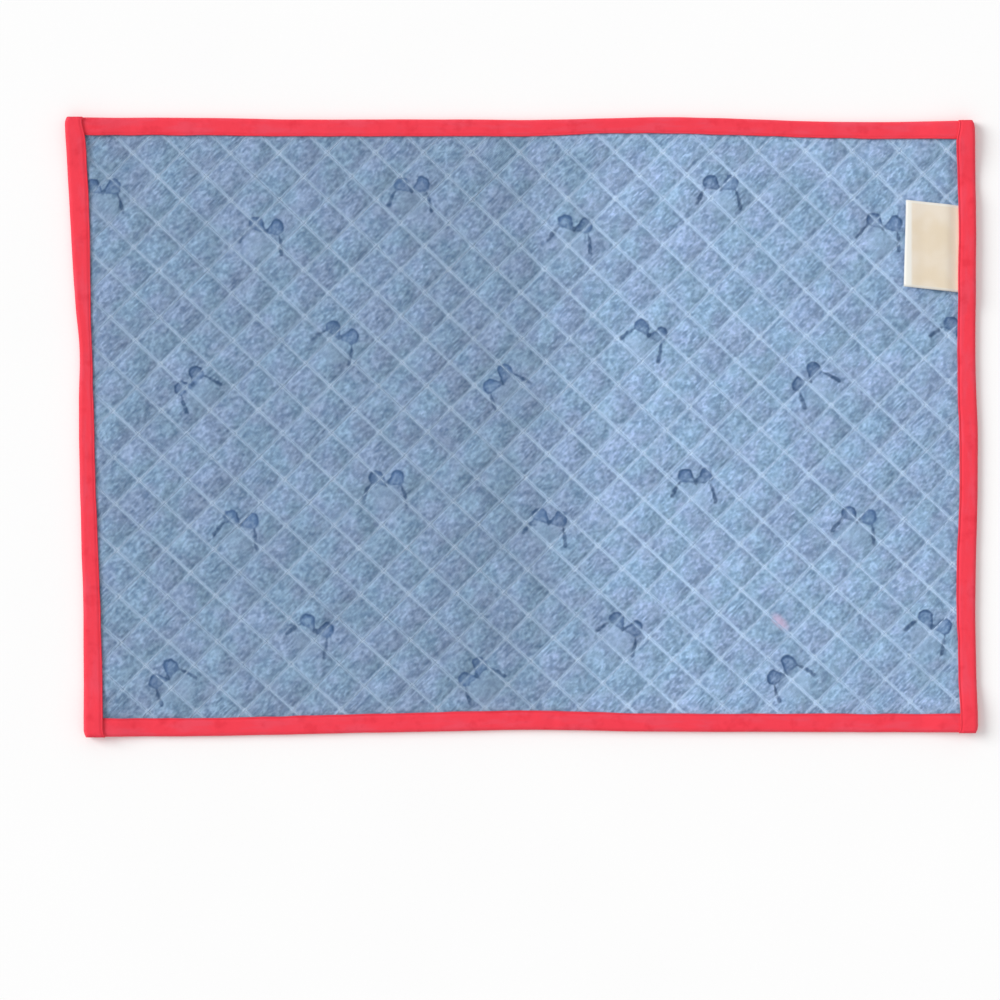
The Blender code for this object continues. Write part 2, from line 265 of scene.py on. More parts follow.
# from_edge: distance from the mat's edge. under, over: how far the lower and upper faces are raised.
Rise = namedtuple("Rise", "from_edge under over")
CORNER_OVER = 1.2  # a little under one leg, because the panel's corner is pressed thinner
LONG_STRIP_END = [
    Rise(0, LEG, CORNER_OVER),
    Rise(11, LEG, CORNER_OVER),
    Rise(17, 0, CORNER_OVER),
    Rise(19, 0, CORNER_OVER),
    Rise(29, 0, 0),
]
SIDE_STRIP_END = [Rise(0, 0, CORNER_OVER + LEG), Rise(11, 0, CORNER_OVER + LEG), Rise(27, 0, 0)]
PANEL_CORNER = [Rise(14, LEG, CORNER_OVER), Rise(23, 0, 0)]
STRIP_END_INSET = 1.5  # from the mat's edge to the cut ends of the far and near strips


def straight_value(rows, key, column, place):
    """A column's value at a place, on straight lines between the rows and level past their ends."""
    if place <= getattr(rows[0], key):
        return getattr(rows[0], column)
    for before, after in zip(rows, rows[1:]):
        start, end = getattr(before, key), getattr(after, key)
        if place <= end:
            t = (place - start) / (end - start)
            return getattr(before, column) * (1 - t) + getattr(after, column) * t
    return getattr(rows[-1], column)


def corner_rise(x, y, column):
    """How far the panel is raised near a corner, by the ends of the strips below and above it."""
    from_long = min(depth_in(FAR, x, y), depth_in(NEAR, x, y))
    from_short = min(depth_in(LEFT, x, y), depth_in(RIGHT, x, y))
    full = getattr(PANEL_CORNER[0], column)
    share_long = straight_value(PANEL_CORNER, "from_edge", column, from_long) / full
    return share_long * straight_value(PANEL_CORNER, "from_edge", column, from_short)


print("binding", TAPE_TOP, "mm high along the sides,", TAPE_TOP + CORNER_OVER + LEG, "at the corners")

# %% [markdown]
# ## The quilting lines
# Two sets of straight rows cross in diamonds. The rows were steered by hand and curve a little, so a
# place on the cloth is turned into quilting coordinates: how many diamonds it lies along the rows
# that fall to the right, and along those that rise. Whole numbers are the seams. Everything that
# belongs to the quilting is worked out in these coordinates: the grid, the padding, the stitches
# and the pale line that they leave in the colour.

# %% Quilting coordinates
SIDE_FALLING = (12.51, -11.74)  # a diamond's side along the rows that fall to the right
SIDE_RISING = (11.97, 11.94)  # a diamond's side along the rows that rise to the right
FIRST_CROSSING = (0.9, -2.1)
# The rows curve by these shares of a diamond's side times the squares of x / CURVE_X and
# y / CURVE_Y, and their product.
Curve = namedtuple("Curve", "xx xy yy")
FALLING_CURVE = Curve(0.086, -0.066, -0.028)
RISING_CURVE = Curve(0.068, 0.027, -0.100)
CURVE_X, CURVE_Y = 200.0, 150.0
SOLVING_ROUNDS = 4  # each brings the point for given quilting coordinates some fifty times closer
DIAMOND_WIDTH = SIDE_FALLING[0] + SIDE_RISING[0]
DIAMOND_HEIGHT = SIDE_RISING[1] - SIDE_FALLING[1]
SEAM_SPACING = math.hypot(*SIDE_FALLING)  # a diamond is nearly square, so its side is the spacing


def curved(curve, x, y):
    """How far a row has left its straight course at a point, in diamonds."""
    x, y = x / CURVE_X, y / CURVE_Y
    return curve.xx * x * x + curve.xy * x * y + curve.yy * y * y


def quilt_coordinates(x, y):
    """A point's place along the falling and along the rising rows, in diamonds."""
    dx, dy = x - FIRST_CROSSING[0], y - FIRST_CROSSING[1]
    turn = SIDE_FALLING[0] * SIDE_RISING[1] - SIDE_FALLING[1] * SIDE_RISING[0]
    falling = (dx * SIDE_RISING[1] - dy * SIDE_RISING[0]) / turn
    rising = (SIDE_FALLING[0] * dy - SIDE_FALLING[1] * dx) / turn
    return falling + curved(FALLING_CURVE, x, y), rising + curved(RISING_CURVE, x, y)


def quilt_place(falling, rising):
    """The point at these quilting coordinates."""
    x = y = 0.0
    for _ in range(SOLVING_ROUNDS):
        f = falling - curved(FALLING_CURVE, x, y)
        r = rising - curved(RISING_CURVE, x, y)
        x = FIRST_CROSSING[0] + f * SIDE_FALLING[0] + r * SIDE_RISING[0]
        y = FIRST_CROSSING[1] + f * SIDE_FALLING[1] + r * SIDE_RISING[1]
    return x, y


print("diamonds", round(DIAMOND_WIDTH, 1), "x", round(DIAMOND_HEIGHT, 1), "mm")

# %% [markdown]
# ## The padded panel: its grid
# The face is one sheet, so it starts as one grid. If the grid lay square to the mat, every seam
# would cut across its cells and come out as a saw edge. So the grid is laid on the quilting: one
# diamond is a whole number of steps wide, the seams are diagonals of cells, and every cell is split
# along its nearer seam, so that the padding slopes without facets. Points outside the binding's
# line are drawn in onto it and merged, which cuts the grid to the mat's wavy outline.

# %% A grid laid on the quilting
GRID_REACH_X, GRID_REACH_Y = 240.0, 163.0  # the grid starts out larger than the mat
SNAP = 0.37  # a point this close to the outline, in steps, is brought onto it
MERGE = 0.55  # and points of the outline that are this close together, in steps, are merged
SLIVER = 0.02  # a face that is left with less than this share of a cell is dropped


def laid_grid(steps, line):
    """A flat grid with this many steps to a diamond, cut off at line(side, along) inside the edge."""
    step = DIAMOND_HEIGHT / steps
    reach_x = math.ceil(GRID_REACH_X / DIAMOND_WIDTH) * steps
    reach_y = math.ceil(GRID_REACH_Y / DIAMOND_HEIGHT * 2) * steps // 2
    bm = bmesh.new()
    made = bmesh.ops.create_grid(bm, x_segments=2 * reach_x, y_segments=2 * reach_y, size=0.5)["verts"]
    # number the vertices by their steps from the middle
    number = {}
    for vertex in made:
        across = round((vertex.co.x + 0.5) * 2 * reach_x) - reach_x
        number[vertex] = (across, round((vertex.co.y + 0.5) * 2 * reach_y) - reach_y)
    # split every cell along its nearer seam
    by_rising, by_falling = [], []
    for face in bm.faces:
        across = min(number[vertex][0] for vertex in face.verts)
        up = min(number[vertex][1] for vertex in face.verts)
        from_rising, from_falling = (across - up) % steps, (across + up + 1) % steps
        nearer_rising = min(from_rising, steps - from_rising) <= min(from_falling, steps - from_falling)
        (by_rising if nearer_rising else by_falling).append(face)
    bmesh.ops.triangulate(bm, faces=by_rising, quad_method="FIXED")
    bmesh.ops.triangulate(bm, faces=by_falling, quad_method="ALTERNATE")
    # lay the grid on the quilting, and draw in what lies outside the line
    outline = []
    for vertex, (across, up) in number.items():
        free = x, y = quilt_place((across - up) / steps, (across + up) / steps)
        for side in SIDES:
            depth = line(side, along_side(side, x, y))
            if depth_in(side, x, y) < depth + SNAP * step:
                x, y = at_depth(side, x, y, depth)
        if (x, y) != free:
            outline.append(vertex)
        vertex.co = (x, y, 0.0)
    bmesh.ops.remove_doubles(bm, verts=outline, dist=MERGE * step)
    slivers = [face for face in bm.faces if face.calc_area() < SLIVER * step * step]
    bmesh.ops.delete(bm, geom=slivers, context="FACES")
    return bm


def border(bm):
    return [edge for edge in bm.edges if edge.is_boundary]


FACE_STEPS, BACK_STEPS = 16, 8
face_grid = laid_grid(FACE_STEPS, cover_at)
print("face grid:", len(face_grid.faces), "faces,", len(border(face_grid)), "edges round it")

# %% [markdown]
# ## The padded panel: its padding
# Wadding lifts the middle of each diamond and the seams hold it down, so the height is a bump that
# is zero on every whole number of the quilting coordinates. No two diamonds of a washed quilt are
# alike: each gets its own fullness, noise makes the filling lumpy, and the thread gathers the cloth
# into small puckers that run across the seams and die out towards the middle.

# %% Parts of the padding
PUFF_TOP = 4.1  # the crown of a diamond
PUFF_SHAPE = 0.72  # below 1, the crown is broad and its sides are steep
CELL_LAYER = 4.5  # where in the noise each diamond's own fullness is read
FULLNESS_LEAST = 0.80  # the slackest diamond's height, as a share of the fullest one's
LUMP_SIZE, LUMP_HEIGHT = 5.5, 0.22
PUCKER_SIZE, PUCKER_HEIGHT = 4.2, 0.22
PUCKER_REACH = 2.2  # from the seam, where they are highest
PUCKER_CHANGE = 0.7  # how much they change from one row to the next
FALLING_LAYER, RISING_LAYER = 2.5, 7.5  # where in the noise each set of rows reads its puckers
FOLD_FAR_X, FOLD_NEAR_X = 7.0, 16.6  # the old fold across the mat, at the far and the near side
FOLD_Y = 157.0  # how far from the mat's middle the two sides are
FOLD_HALF_WIDTH = 14.0
FOLD_DEPTH = 0.5


def fold_line(y):
    return FOLD_NEAR_X + (FOLD_FAR_X - FOLD_NEAR_X) * (y + FOLD_Y) / (2 * FOLD_Y)


def fold_drop(x, y):
    """The depth of the soft trough that is left where the mat was folded in half."""
    return FOLD_DEPTH * max(0.0, 1 - abs(x - fold_line(y)) / FOLD_HALF_WIDTH) ** 2


def fullness(falling, rising):
    """One diamond's own share of the full height."""
    spot = Vector((math.floor(falling) + 0.5, math.floor(rising) + 0.5, CELL_LAYER))
    return FULLNESS_LEAST + (1 - FULLNESS_LEAST) * noise.cell(spot)


def puff(falling, rising):
    """The height of a diamond's padding, from 0 on its seams to 1 at its middle."""
    return abs(math.sin(math.pi * falling) * math.sin(math.pi * rising)) ** PUFF_SHAPE


def pucker(falling, rising):
    """Small folds that cross the seams, strongest a little way from them."""
    total = 0.0
    for across, along, layer in ((falling, rising, FALLING_LAYER), (rising, falling, RISING_LAYER)):
        away = abs(across - round(across)) * SEAM_SPACING / PUCKER_REACH
        spot = Vector((along * SEAM_SPACING / PUCKER_SIZE, PUCKER_CHANGE * across, layer))
        total += noise.noise(spot) * away * math.exp(1 - away)
    return total


def lump(x, y):
    return noise.noise(Vector((x, y, 0.0)) / LUMP_SIZE)


print("the slackest diamond is", FULLNESS_LEAST, "times as full as the fullest")

# %% [markdown]
# ### One height from its parts
# The face lies at the rim's height, plus the padding, less what the seams and the old fold sink.
# All of that fades out towards the binding, which holds the cloth flat, and near a corner the
# layers below add their own rise. The back lies on the table and is drawn up at its seams.

# %% Height of the face and the back
SEAM_SUNK = 0.6  # away from the binding, the seams lie this much lower than the rim
FREE_AFTER = 5.0  # the diamonds reach full height this far from the binding
BACK_TUCK = 0.6  # on the back, the seams are drawn up this far from the table


def set_free(x, y):
    """From 0 at the binding, which holds the cloth flat, to 1 where it is free of it."""
    share = min(1.0, max(0.0, from_binding(x, y) / FREE_AFTER))
    return share * (2 - share)


def face_height(x, y):
    falling, rising = quilt_coordinates(x, y)
    padding = puff(falling, rising)
    raised = (PUFF_TOP - RIM_TOP + SEAM_SUNK) * padding * fullness(falling, rising) - SEAM_SUNK
    raised -= fold_drop(x, y)
    raised += LUMP_HEIGHT * lump(x, y) * padding + PUCKER_HEIGHT * pucker(falling, rising)
    return RIM_TOP + set_free(x, y) * raised + corner_rise(x, y, "over")


def seam_height(x, y):
    """The height of the face on a seam."""
    sunk = set_free(x, y) * (SEAM_SUNK + fold_drop(x, y))
    return RIM_TOP - sunk + corner_rise(x, y, "over")


def back_height(x, y):
    falling, rising = quilt_coordinates(x, y)
    return BACK_TUCK * (1 - puff(falling, rising))


for vertex in face_grid.verts:
    vertex.co.z = face_height(vertex.co.x, vertex.co.y)
heights = [vertex.co.z for vertex in face_grid.verts]
print("face between", round(min(heights), 2), "and", round(max(heights), 2), "mm")

# %% [markdown]
# ## The padded panel: one closed body
# Rings extruded from the face's border make the flat rim inside the binding and turn it under. The
# back is a second, coarser grid of the same quilting, and bridging the two open borders closes the
# body. Its quilting coordinates are kept as a UV map, because the material needs them too.

# %% Rim, back and mesh
ON_LINE = 0.3  # a point of the border this close to a side's line belongs to that side


def ring_outwards(bm, old_depth, new_depth, column, height):
    """One more ring of faces round the open border, moved across the sides from one depth to
    another and set at a height, to which the corners add their rise."""
    made = bmesh.ops.extrude_edge_only(bm, edges=border(bm))["geom"]
    for vertex in (v for v in made if isinstance(v, bmesh.types.BMVert)):
        x, y = vertex.co.x, vertex.co.y
        for side in SIDES:
            if abs(depth_in(side, x, y) - old_depth(side, along_side(side, x, y))) < ON_LINE:
                x, y = at_depth(side, x, y, new_depth(side, along_side(side, x, y)))
        vertex.co = (x, y, height + corner_rise(x, y, column))


def rim_line(side, along):
    return RIM_INSET


def back_line(side, along):
    return BACK_COVER + CLEARANCE


def new_piece(name, bm):
    """The bmesh, in millimetres, as a smooth object in metres that rides with the mat."""
    bmesh.ops.scale(bm, vec=(MM, MM, MM), verts=bm.verts)
    bmesh.ops.recalc_face_normals(bm, faces=bm.faces)
    mesh = bpy.data.meshes.new(name)
    bm.to_mesh(mesh)
    bm.free()
    mesh.shade_smooth()
    piece = bpy.data.objects.new(name, mesh)
    scene.collection.objects.link(piece)
    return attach(piece, "root")


ring_outwards(face_grid, cover_at, rim_line, "over", RIM_TOP)
ring_outwards(face_grid, rim_line, rim_line, "under", RIM_UNDER)
ring_outwards(face_grid, rim_line, back_line, "under", RIM_UNDER)

back_grid = laid_grid(BACK_STEPS, back_line)
for vertex in back_grid.verts:
    vertex.co.z = back_height(vertex.co.x, vertex.co.y)
for face in back_grid.faces:
    face.material_index = 1
back_mesh = bpy.data.meshes.new("back")
back_grid.to_mesh(back_mesh)
back_grid.free()
face_grid.from_mesh(back_mesh)
bpy.data.meshes.remove(back_mesh)
bmesh.ops.bridge_loops(face_grid, edges=border(face_grid))

quilting_map = face_grid.loops.layers.uv.new("quilting")
for vertex in face_grid.verts:
    place = quilt_coordinates(vertex.co.x, vertex.co.y)
    for loop in vertex.link_loops:
        loop[quilting_map].uv = place
open_edges = len(border(face_grid))
panel = new_piece("padded_panel", face_grid)
print("panel:", len(panel.data.polygons), "faces,", open_edges, "open edges")

# %% [markdown]
# ## The quilting stitches
# A row of machine stitches is a row of short, round loops of thread that dip into the cloth at
# both ends. One stitch is a squeezed sphere with its ends bent down. Geometry Nodes set it along
# every seam, at even steps, and the instances are made real, so that the stitches are a mesh of
# their own. Rows on the back are the same, upside down.

# %% One stitch
STITCH_LENGTH, STITCH_WIDTH, STITCH_DEPTH = 3.35, 0.66, 0.42
STITCH_SIDES, STITCH_RINGS = 5, 4  # few, because thousands of stitches are sewn
STITCH_DIP = 0.2  # how far its ends are bent down


def make_stitch(name, up):
    """One stitch along Z. up is 1 if its ends bend towards the mat from above, -1 from below."""
    bm = bmesh.new()
    bm.loops.layers.uv.new("twist")
    segments = {"u_segments": STITCH_SIDES, "v_segments": STITCH_RINGS}
    bmesh.ops.create_uvsphere(bm, **segments, radius=0.5, calc_uvs=True)
    bmesh.ops.scale(bm, vec=(STITCH_WIDTH, STITCH_DEPTH, STITCH_LENGTH), verts=bm.verts)
    for vertex in bm.verts:
        share = 2 * vertex.co.z / STITCH_LENGTH
        vertex.co.y += up * STITCH_DIP * share * share
    bmesh.ops.scale(bm, vec=(MM, MM, MM), verts=bm.verts)
    bmesh.ops.recalc_face_normals(bm, faces=bm.faces)
    mesh = bpy.data.meshes.new(name)
    bm.to_mesh(mesh)
    bm.free()
    mesh.shade_smooth()
    return bpy.data.objects.new(name, mesh)


print("a stitch:", STITCH_LENGTH, "mm long and", STITCH_WIDTH, "mm wide")

# %% [markdown]
# ### The courses of the rows
# Each row follows one whole number of the quilting coordinates across the whole mat, so its course
# is a list of points where that number stays fixed and the other moves. The points outside the
# cloth that is seen are left out.

# %% Courses of the rows
THREAD_SUNK = 0.12  # the thread beds into the cloth by this much
ROW_STEPS = 12  # places in a diamond's side at which a row's course is worked out
ROW_MARGIN = 0.6  # a row is seen up to the binding, and stops this far before it
BACK_ROW_MARGIN = 1.8  # and the same on the back
ROWS_EACH_WAY = 17


def seam_rows(height, inside):
    """The courses of all the rows, as lists of points. inside(x, y) says where a row is sewn."""
    rows = []
    reach = ROWS_EACH_WAY * ROW_STEPS
    for fixed in range(-ROWS_EACH_WAY, ROWS_EACH_WAY + 1):
        for falls in (True, False):
            course = []
            for i in range(-reach, reach + 1):
                moving = i / ROW_STEPS
                x, y = quilt_place(moving, fixed) if falls else quilt_place(fixed, moving)
                if inside(x, y):
                    course.append(Vector((x, y, height(x, y))))
            if len(course) > 1:
                rows.append(course)
    return rows


def on_face(x, y):
    return from_binding(x, y) > ROW_MARGIN


def on_back(x, y):
    return min(depth_in(side, x, y) for side in SIDES) > BACK_COVER + BACK_ROW_MARGIN


def thread_on_face(x, y):
    return seam_height(x, y) + STITCH_DEPTH / 2 - THREAD_SUNK + STITCH_DIP / 2


def thread_on_back(x, y):
    return BACK_TUCK - STITCH_DEPTH / 2 + THREAD_SUNK


face_rows = seam_rows(thread_on_face, on_face)
back_rows = seam_rows(thread_on_back, on_back)
print("rows:", len(face_rows), "on the face and", len(back_rows), "on the back")

# %% [markdown]
# ### Sewing
# The courses become a curve, and a tree of Geometry Nodes turns the curve into evenly spaced
# points, sets a stitch on each of them along the row and makes the stitches real. The helpers that
# it needed are deleted, and only the sewn thread stays.

# %% Rows of stitches
STITCH_STEP = 3.4  # from one stitch to the next


def sew(name, rows, stitch):
    """A piece with a stitch at every step along the rows."""
    curve = bpy.data.curves.new(name + " rows", "CURVE")
    curve.dimensions = "3D"
    for course in rows:
        spline = curve.splines.new("POLY")
        spline.points.add(len(course) - 1)
        for point, place in zip(spline.points, course):
            point.co = (*(place * MM), 1.0)
    guide = bpy.data.objects.new(name + " rows", curve)
    scene.collection.objects.link(guide)
    tree = bpy.data.node_groups.new(name, "GeometryNodeTree")
    tree.interface.new_socket("Geometry", in_out="OUTPUT", socket_type="NodeSocketGeometry")

    def step(kind, source=None, **settings):
        node = tree.nodes.new(kind)
        for key, value in settings.items():
            setattr(node, key, value)
        if source:
            tree.links.new(source.outputs[0], node.inputs[0])
        return node

    guide_info = step("GeometryNodeObjectInfo")
    guide_info.inputs["Object"].default_value = guide
    upright = step("GeometryNodeSetCurveNormal", mode="Z_UP")
    tree.links.new(guide_info.outputs["Geometry"], upright.inputs["Curve"])
    places = step("GeometryNodeCurveToPoints", upright, mode="LENGTH")
    places.inputs["Length"].default_value = STITCH_STEP * MM
    stitch_info = step("GeometryNodeObjectInfo")
    stitch_info.inputs["Object"].default_value = stitch
    sewn = step("GeometryNodeInstanceOnPoints", places)
    tree.links.new(stitch_info.outputs["Geometry"], sewn.inputs["Instance"])
    tree.links.new(places.outputs["Rotation"], sewn.inputs["Rotation"])
    step("NodeGroupOutput", step("GeometryNodeRealizeInstances", sewn))

    carrier = bpy.data.objects.new(name + " carrier", bpy.data.meshes.new(name))
    scene.collection.objects.link(carrier)
    carrier.modifiers.new("stitches", "NODES").node_group = tree
    depsgraph = bpy.context.evaluated_depsgraph_get()
    mesh = bpy.data.meshes.new_from_object(carrier.evaluated_get(depsgraph))
    mesh.name = name
    for helper in (carrier, guide, stitch):
        bpy.data.objects.remove(helper)
    piece = bpy.data.objects.new(name, mesh)
    scene.collection.objects.link(piece)
    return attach(piece, "root")


face_thread = sew("quilting_thread", face_rows, make_stitch("stitch", 1))
back_thread = sew("back_thread", back_rows, make_stitch("stitch", -1))
stitch_faces = STITCH_SIDES * STITCH_RINGS
print("stitches on the face:", len(face_thread.data.polygons) // stitch_faces)

# %% [markdown]
# ## The red binding
# The binding is bought as folded tape: a strip of cotton with both raw edges turned in, folded once
# more round the mat's edge. Its section is drawn as the path of the cloth itself, from one hidden
# raw edge round to the other. A grid takes that section all along the side, and Solidify gives the
# cloth its thickness, so the soft double edge comes by itself.

# %% Section of the folded tape
TAPE_CLOTH = 0.36  # the thickness of its cloth
TURN_RADIUS = (TAPE - TAPE_CLOTH) / 2  # of the folds at its inner edges
TURNED_IN = 4.6  # the raw edges end this far in from the mat's edge
TAPE_ROUND = 1.9  # the outer fold is round over this depth
TURN_POINTS, ROUND_POINTS = 4, 9
UNDER_POINTS, OVER_POINTS, HIDDEN_POINTS = 4, 8, 3  # along the legs below, above and turned in
OVER_TURNED_IN = 4.0  # the upper raw edge ends a little nearer the fold


def tape_section(cover, under, over):
    """(depth, height) points along the middle of the cloth, from the lower raw edge to the upper."""
    half = TAPE_CLOTH / 2
    points = []

    def leg(start, end, count, height, first=0):
        for i in range(first, count):
            points.append((start + (end - start) * (i / count), height))

    def turn(reach, middle, sign):
        for i in range(TURN_POINTS + 1):
            angle = math.pi * (i / TURN_POINTS - 0.5)
            height = middle + sign * TURN_RADIUS * math.sin(angle)
            points.append((reach + TURN_RADIUS * math.cos(angle), height))

    low, high = under + half, over - half
    leg(TURNED_IN, BACK_COVER - TURN_RADIUS, HIDDEN_POINTS, low + 2 * TURN_RADIUS)
    turn(BACK_COVER - TURN_RADIUS, low + TURN_RADIUS, -1)
    leg(BACK_COVER - TURN_RADIUS, TAPE_ROUND, UNDER_POINTS, low, first=1)
    for i in range(ROUND_POINTS):
        angle = math.pi * (0.5 + i / (ROUND_POINTS - 1))
        depth = TAPE_ROUND + (TAPE_ROUND - half) * math.cos(angle)
        points.append((depth, (low + high) / 2 - (high - low) / 2 * math.sin(angle)))
    leg(TAPE_ROUND, cover - TURN_RADIUS, OVER_POINTS, high, first=1)
    turn(cover - TURN_RADIUS, high - TURN_RADIUS, 1)
    leg(cover - 2 * TURN_RADIUS, OVER_TURNED_IN, HIDDEN_POINTS, high - 2 * TURN_RADIUS)
    return points


USUAL_COVER = 9.2  # how far the binding comes in over the face, on the whole
sample = tape_section(USUAL_COVER, 0.0, TAPE_TOP)
tape_width = sum(math.dist(a, b) for a, b in zip(sample, sample[1:]))
print("section:", len(sample), "points, cut", round(tape_width, 1), "mm wide")

# %% [markdown]
# ### Over the label
# The right strip rises over the label's ends, which are two layers of ribbon. A short table holds
# that hump, and the label's own sizes come first, because the hump follows from them.

# %% Hump over the label
LABEL_NEAR_Y, LABEL_FAR_Y = 68.9, 113.2  # where the label leaves the binding
LABEL_CLOTH = 0.4  # the thickness of its ribbon
LABEL_PITCH = LABEL_CLOTH + CLEARANCE  # from its lower layer to its upper one
LABEL_RISE = LABEL_CLOTH + LABEL_PITCH + CLEARANCE  # the strip above is raised by both layers
LABEL_RAMP = 9.0  # and comes down again over this length
LABEL_MARGIN = 2.0  # the strip stays up this far to either side of it
Hump = namedtuple("Hump", "along over")
OVER_LABEL = [
    Hump(LABEL_NEAR_Y - LABEL_MARGIN - LABEL_RAMP, 0.0),
    Hump(LABEL_NEAR_Y - LABEL_MARGIN, LABEL_RISE),
    Hump(LABEL_FAR_Y + LABEL_MARGIN, LABEL_RISE),
    Hump(LABEL_FAR_Y + LABEL_MARGIN + LABEL_RAMP, 0.0),
]
print("the right strip rises by", round(LABEL_RISE, 2), "mm over the label")

# %% [markdown]
# ### The four strips
# A sewn strip is never quite straight or smooth: its inner edge wavers with the needle's pull, and
# small creases cross it where the cloth was eased. Both are noise along the strip. Two creases stay
# from the fold of the mat. The long strips end a little way inside the corners, and the side strips
# run over their ends.

# %% Unevenness and ends of the strips
NARROWED_OVER = 10.0  # a strip's last end gets narrower over this length
EDGE_WAVER, EDGE_WAVER_SIZE = 0.28, 11.0
OUTER_WAVER, OUTER_WAVER_SIZE = 0.16, 16.0
EDGE_LAYER, OUTER_LAYER = 0.5, 7.5  # where in the noise each of them is read
CORNER_ROUND, CORNER_ROUND_OVER = 1.1, 3.6  # a strip's end is pulled in by this much, over this length
CREASE_SIZE = (5.0, 9.0)  # along and across the strip
CREASE_HEIGHT = 0.16
CREASE_AT = 2.0  # the depth whose creases move the strip's height, and the rest of them its surface
PRESSED_HALF_WIDTH, PRESSED_DEPTH = 1.1, 0.28  # the crease where the mat was folded
# ends: the sides whose edges a strip runs between. inset: from there to its cut ends. rises: the
# layers under and over its ends.
Run = namedtuple("Run", "ends inset rises")
LONG_RUN = Run((LEFT, RIGHT), STRIP_END_INSET, LONG_STRIP_END)
SHORT_RUN = Run((NEAR, FAR), 0.0, SIDE_STRIP_END)


def thicken(piece, thickness):
    """Gives a sheet its thickness, half of it to either side."""
    cloth = piece.modifiers.new("cloth", "SOLIDIFY")
    cloth.thickness = thickness * MM
    cloth.offset = 0.0


print("each long strip ends", STRIP_END_INSET, "mm inside the corner")

# %% [markdown]
# ### Making one strip
# The strip starts as a grid, with a column for every section along the side and a row for every
# point of the section. Each section is worked out for its own place, with its own waver, cover and
# layers below, and the grid's points are moved onto it. The UV map keeps the millimetres of the flat
# cloth, for its weave.

# %% One strip of tape
STRIP_STEP = 1.8  # along the strip, from one section to the next


def make_strip(name, node, side, run, seed, humps=None, creased_at=None, narrowed=0.0):
    """A strip of folded tape round one side. It rises over humps, has the fold's crease where it is
    creased, and its last end is narrowed by that much."""
    first = edge_at(run.ends[0], side.rows[0].edge) + run.inset
    last = edge_at(run.ends[1], side.rows[-1].edge) - run.inset
    columns = math.ceil((last - first) / STRIP_STEP)

    def raised(along, column):
        from_end = min(along - first, last - along) + run.inset
        rise = straight_value(run.rises, "from_edge", column, from_end)
        if humps and column == "over":
            rise += straight_value(humps, "along", "over", along)
        return rise

    def creased(along, depth):
        spot = Vector((along / CREASE_SIZE[0], depth / CREASE_SIZE[1], seed))
        height = CREASE_HEIGHT * noise.noise(spot)
        if creased_at is not None:
            height -= PRESSED_DEPTH * max(0.0, 1 - abs(along - creased_at) / PRESSED_HALF_WIDTH)
        return height

    bm = bmesh.new()
    rows = len(sample) - 1
    made = bmesh.ops.create_grid(bm, x_segments=columns, y_segments=rows, size=0.5)["verts"]
    sections = []
    for column in range(columns + 1):
        along = first + (last - first) * column / columns
        waver = EDGE_WAVER * noise.noise(Vector((along / EDGE_WAVER_SIZE, seed, EDGE_LAYER)))
        out = OUTER_WAVER * noise.noise(Vector((along / OUTER_WAVER_SIZE, seed, OUTER_LAYER)))
        from_end = min(along - first, last - along)
        out += CORNER_ROUND * max(0.0, 1 - from_end / CORNER_ROUND_OVER) ** 2
        cover = cover_at(side, along) + waver
        cover -= narrowed * max(0.0, 1 - (last - along) / NARROWED_OVER)
        over = TAPE_TOP + raised(along, "over") + creased(along, CREASE_AT) - CREASE_HEIGHT / 2
        sections.append((along, out, tape_section(cover, raised(along, "under"), over)))
    cloth = bm.loops.layers.uv.new("cloth")
    for vertex in made:
        column = round((vertex.co.x + 0.5) * columns)
        row = round((vertex.co.y + 0.5) * rows)
        along, out, section = sections[column]
        depth, z = section[row]
        if z > TAPE_TOP / 2:
            z += (creased(along, depth) - creased(along, CREASE_AT)) * min(1.0, depth / TAPE_ROUND)
        for loop in vertex.link_loops:
            loop[cloth].uv = (along, row * tape_width / rows)
        across = edge_at(side, along) + (depth + out) * side.inward
        vertex.co = (along, across, z) if side.axis == "x" else (across, along, z)
    strip = new_piece(name, bm)
    thicken(strip, TAPE_CLOTH)
    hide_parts(node)
    return strip


print("a strip has a section every", STRIP_STEP, "mm")

# %% [markdown]
# ### The strips in place
# Each strip reads the noise in a place of its own, so no two of them waver alike. Both side strips
# get narrower towards the far corners.

# %% Strips of tape
FAR_SEED, NEAR_SEED, LEFT_SEED, RIGHT_SEED = 11.5, 23.5, 37.5, 41.5  # each strip's place in the noise
LEFT_NARROWED, RIGHT_NARROWED = 1.8, 2.6

far_tape = make_strip("far_tape", "binding_far", FAR, LONG_RUN, FAR_SEED, creased_at=FOLD_FAR_X)
near_tape = make_strip("near_tape", "binding_near", NEAR, LONG_RUN, NEAR_SEED, creased_at=FOLD_NEAR_X)
left_tape = make_strip("left_tape", "binding_left", LEFT, SHORT_RUN, LEFT_SEED, narrowed=LEFT_NARROWED)
right_tape = make_strip(
    "right_tape", "binding_right", RIGHT, SHORT_RUN, RIGHT_SEED, OVER_LABEL, narrowed=RIGHT_NARROWED
)
strips = (far_tape, near_tape, left_tape, right_tape)
print("strips:", [len(strip.data.polygons) for strip in strips], "faces before their thickness")

# %% [markdown]
# ## The label
# The label is a length of cream ribbon, folded in two, with both ends caught under the binding. The
# cloth's path is a short table, like the tape's: out over the diamonds, round the fold and back.
# The fold keeps a little air, so the free edge stands off the mat and throws a soft shadow.

